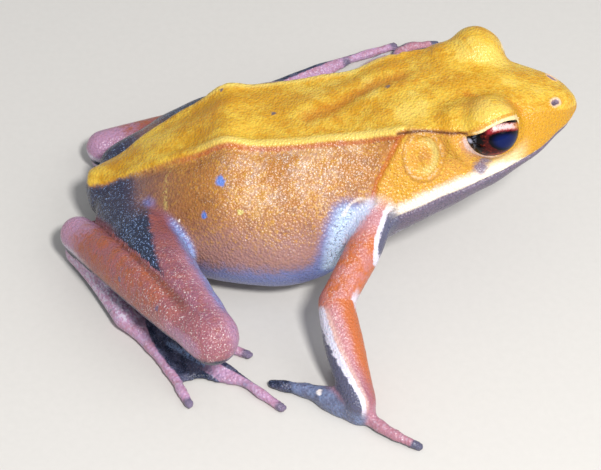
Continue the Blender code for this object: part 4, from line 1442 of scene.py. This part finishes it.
eyePaint = paintEye()
for side in bothSides:
    makeEye(side).data.materials.append(eyePaint)
print("eyes: made and painted")

studio = {
    "floor": colour(214, 210, 204),
    "floorSize": 1.6,
    "paperGrain": 900.0,
    "paperShade": 0.94,
    "world": colour(232, 236, 242),
    "worldStrength": 0.5,
    "target": (29.45, -1.98, 0.0),
    "azimuth": -1.83,
    "elevation": 43.07,
    "distance": 350.0,
    "lens": 142.6,
    "near": 0.01,
    "far": 20.0,
    "lamps": {   # azimuth, elevation, distance, size, power
        "key": (16.0, 50.0, 0.46, 0.06, 1.9),
        "fill": (60.0, 40.0, 0.6, 0.5, 1.0),
    },
}


def makeFloor():
    # a flat square under the frog, with a faint paper grain
    half = studio["floorSize"] / 2
    corners = [(-half, -half, 0), (half, -half, 0), (half, half, 0), (-half, half, 0)]
    mesh = bpy.data.meshes.new("floor")
    mesh.from_pydata(corners, [], [(0, 1, 2, 3)])
    made = addObject("floor", mesh)
    p = Paint("floor_paper", studio)
    grain = p.noise(p.add("ShaderNodeTexCoord", {}, {}, "Object"), studio["paperGrain"], 3.0)
    darker = (*[value * studio["paperShade"] for value in studio["floor"][:3]], 1.0)
    mesh.materials.append(p.finish({"Base Color": p.over("floor", darker, grain), "Roughness": 0.9}))


def viewAxes(azimuth, elevation):
    # right, up and back for an eye at that angle round the frog
    turn = math.radians(azimuth)
    rise = math.radians(elevation)
    back = np.array([math.sin(turn) * math.cos(rise), -math.cos(turn) * math.cos(rise), math.sin(rise)])
    right = np.array([math.cos(turn), math.sin(turn), 0.0])
    return right, np.cross(back, right), back


def aim(thing, place, axes):
    # stands a camera or lamp at a place, looking against its third axis
    matrix = np.eye(4)
    matrix[:3, :3] = np.stack(axes, axis=1)
    matrix[:3, 3] = place
    thing.matrix_world = Matrix(matrix.tolist())


def makeCamera():
    camera = bpy.data.cameras.new("camera")
    camera.lens = studio["lens"]
    camera.sensor_width = 36.0
    camera.clip_start = studio["near"]
    camera.clip_end = studio["far"]
    made = addObject("camera", camera)
    axes = viewAxes(studio["azimuth"], studio["elevation"])
    target = (np.array(studio["target"]) - origin) * mm
    aim(made, target + axes[2] * studio["distance"] * mm, axes)
    bpy.context.scene.camera = made


def makeLamp(name, azimuth, elevation, distance, size, power):
    lamp = bpy.data.lights.new(name, "AREA")
    lamp.shape = "DISK"
    lamp.size = size
    lamp.energy = power
    axes = viewAxes(azimuth, elevation)
    aim(addObject(name, lamp), axes[2] * distance, axes)


def makeWorld():
    world = bpy.data.worlds.new("studio")
    bpy.context.scene.world = world
    world.use_nodes = True
    shade = world.node_tree.nodes["Background"]
    shade.inputs["Color"].default_value = studio["world"]
    shade.inputs["Strength"].default_value = studio["worldStrength"]
    bpy.context.scene.view_settings.view_transform = "Standard"


makeFloor()
makeCamera()
for name, values in studio["lamps"].items():
    makeLamp(name, *values)
makeWorld()
print("studio: floor, lamps and camera")
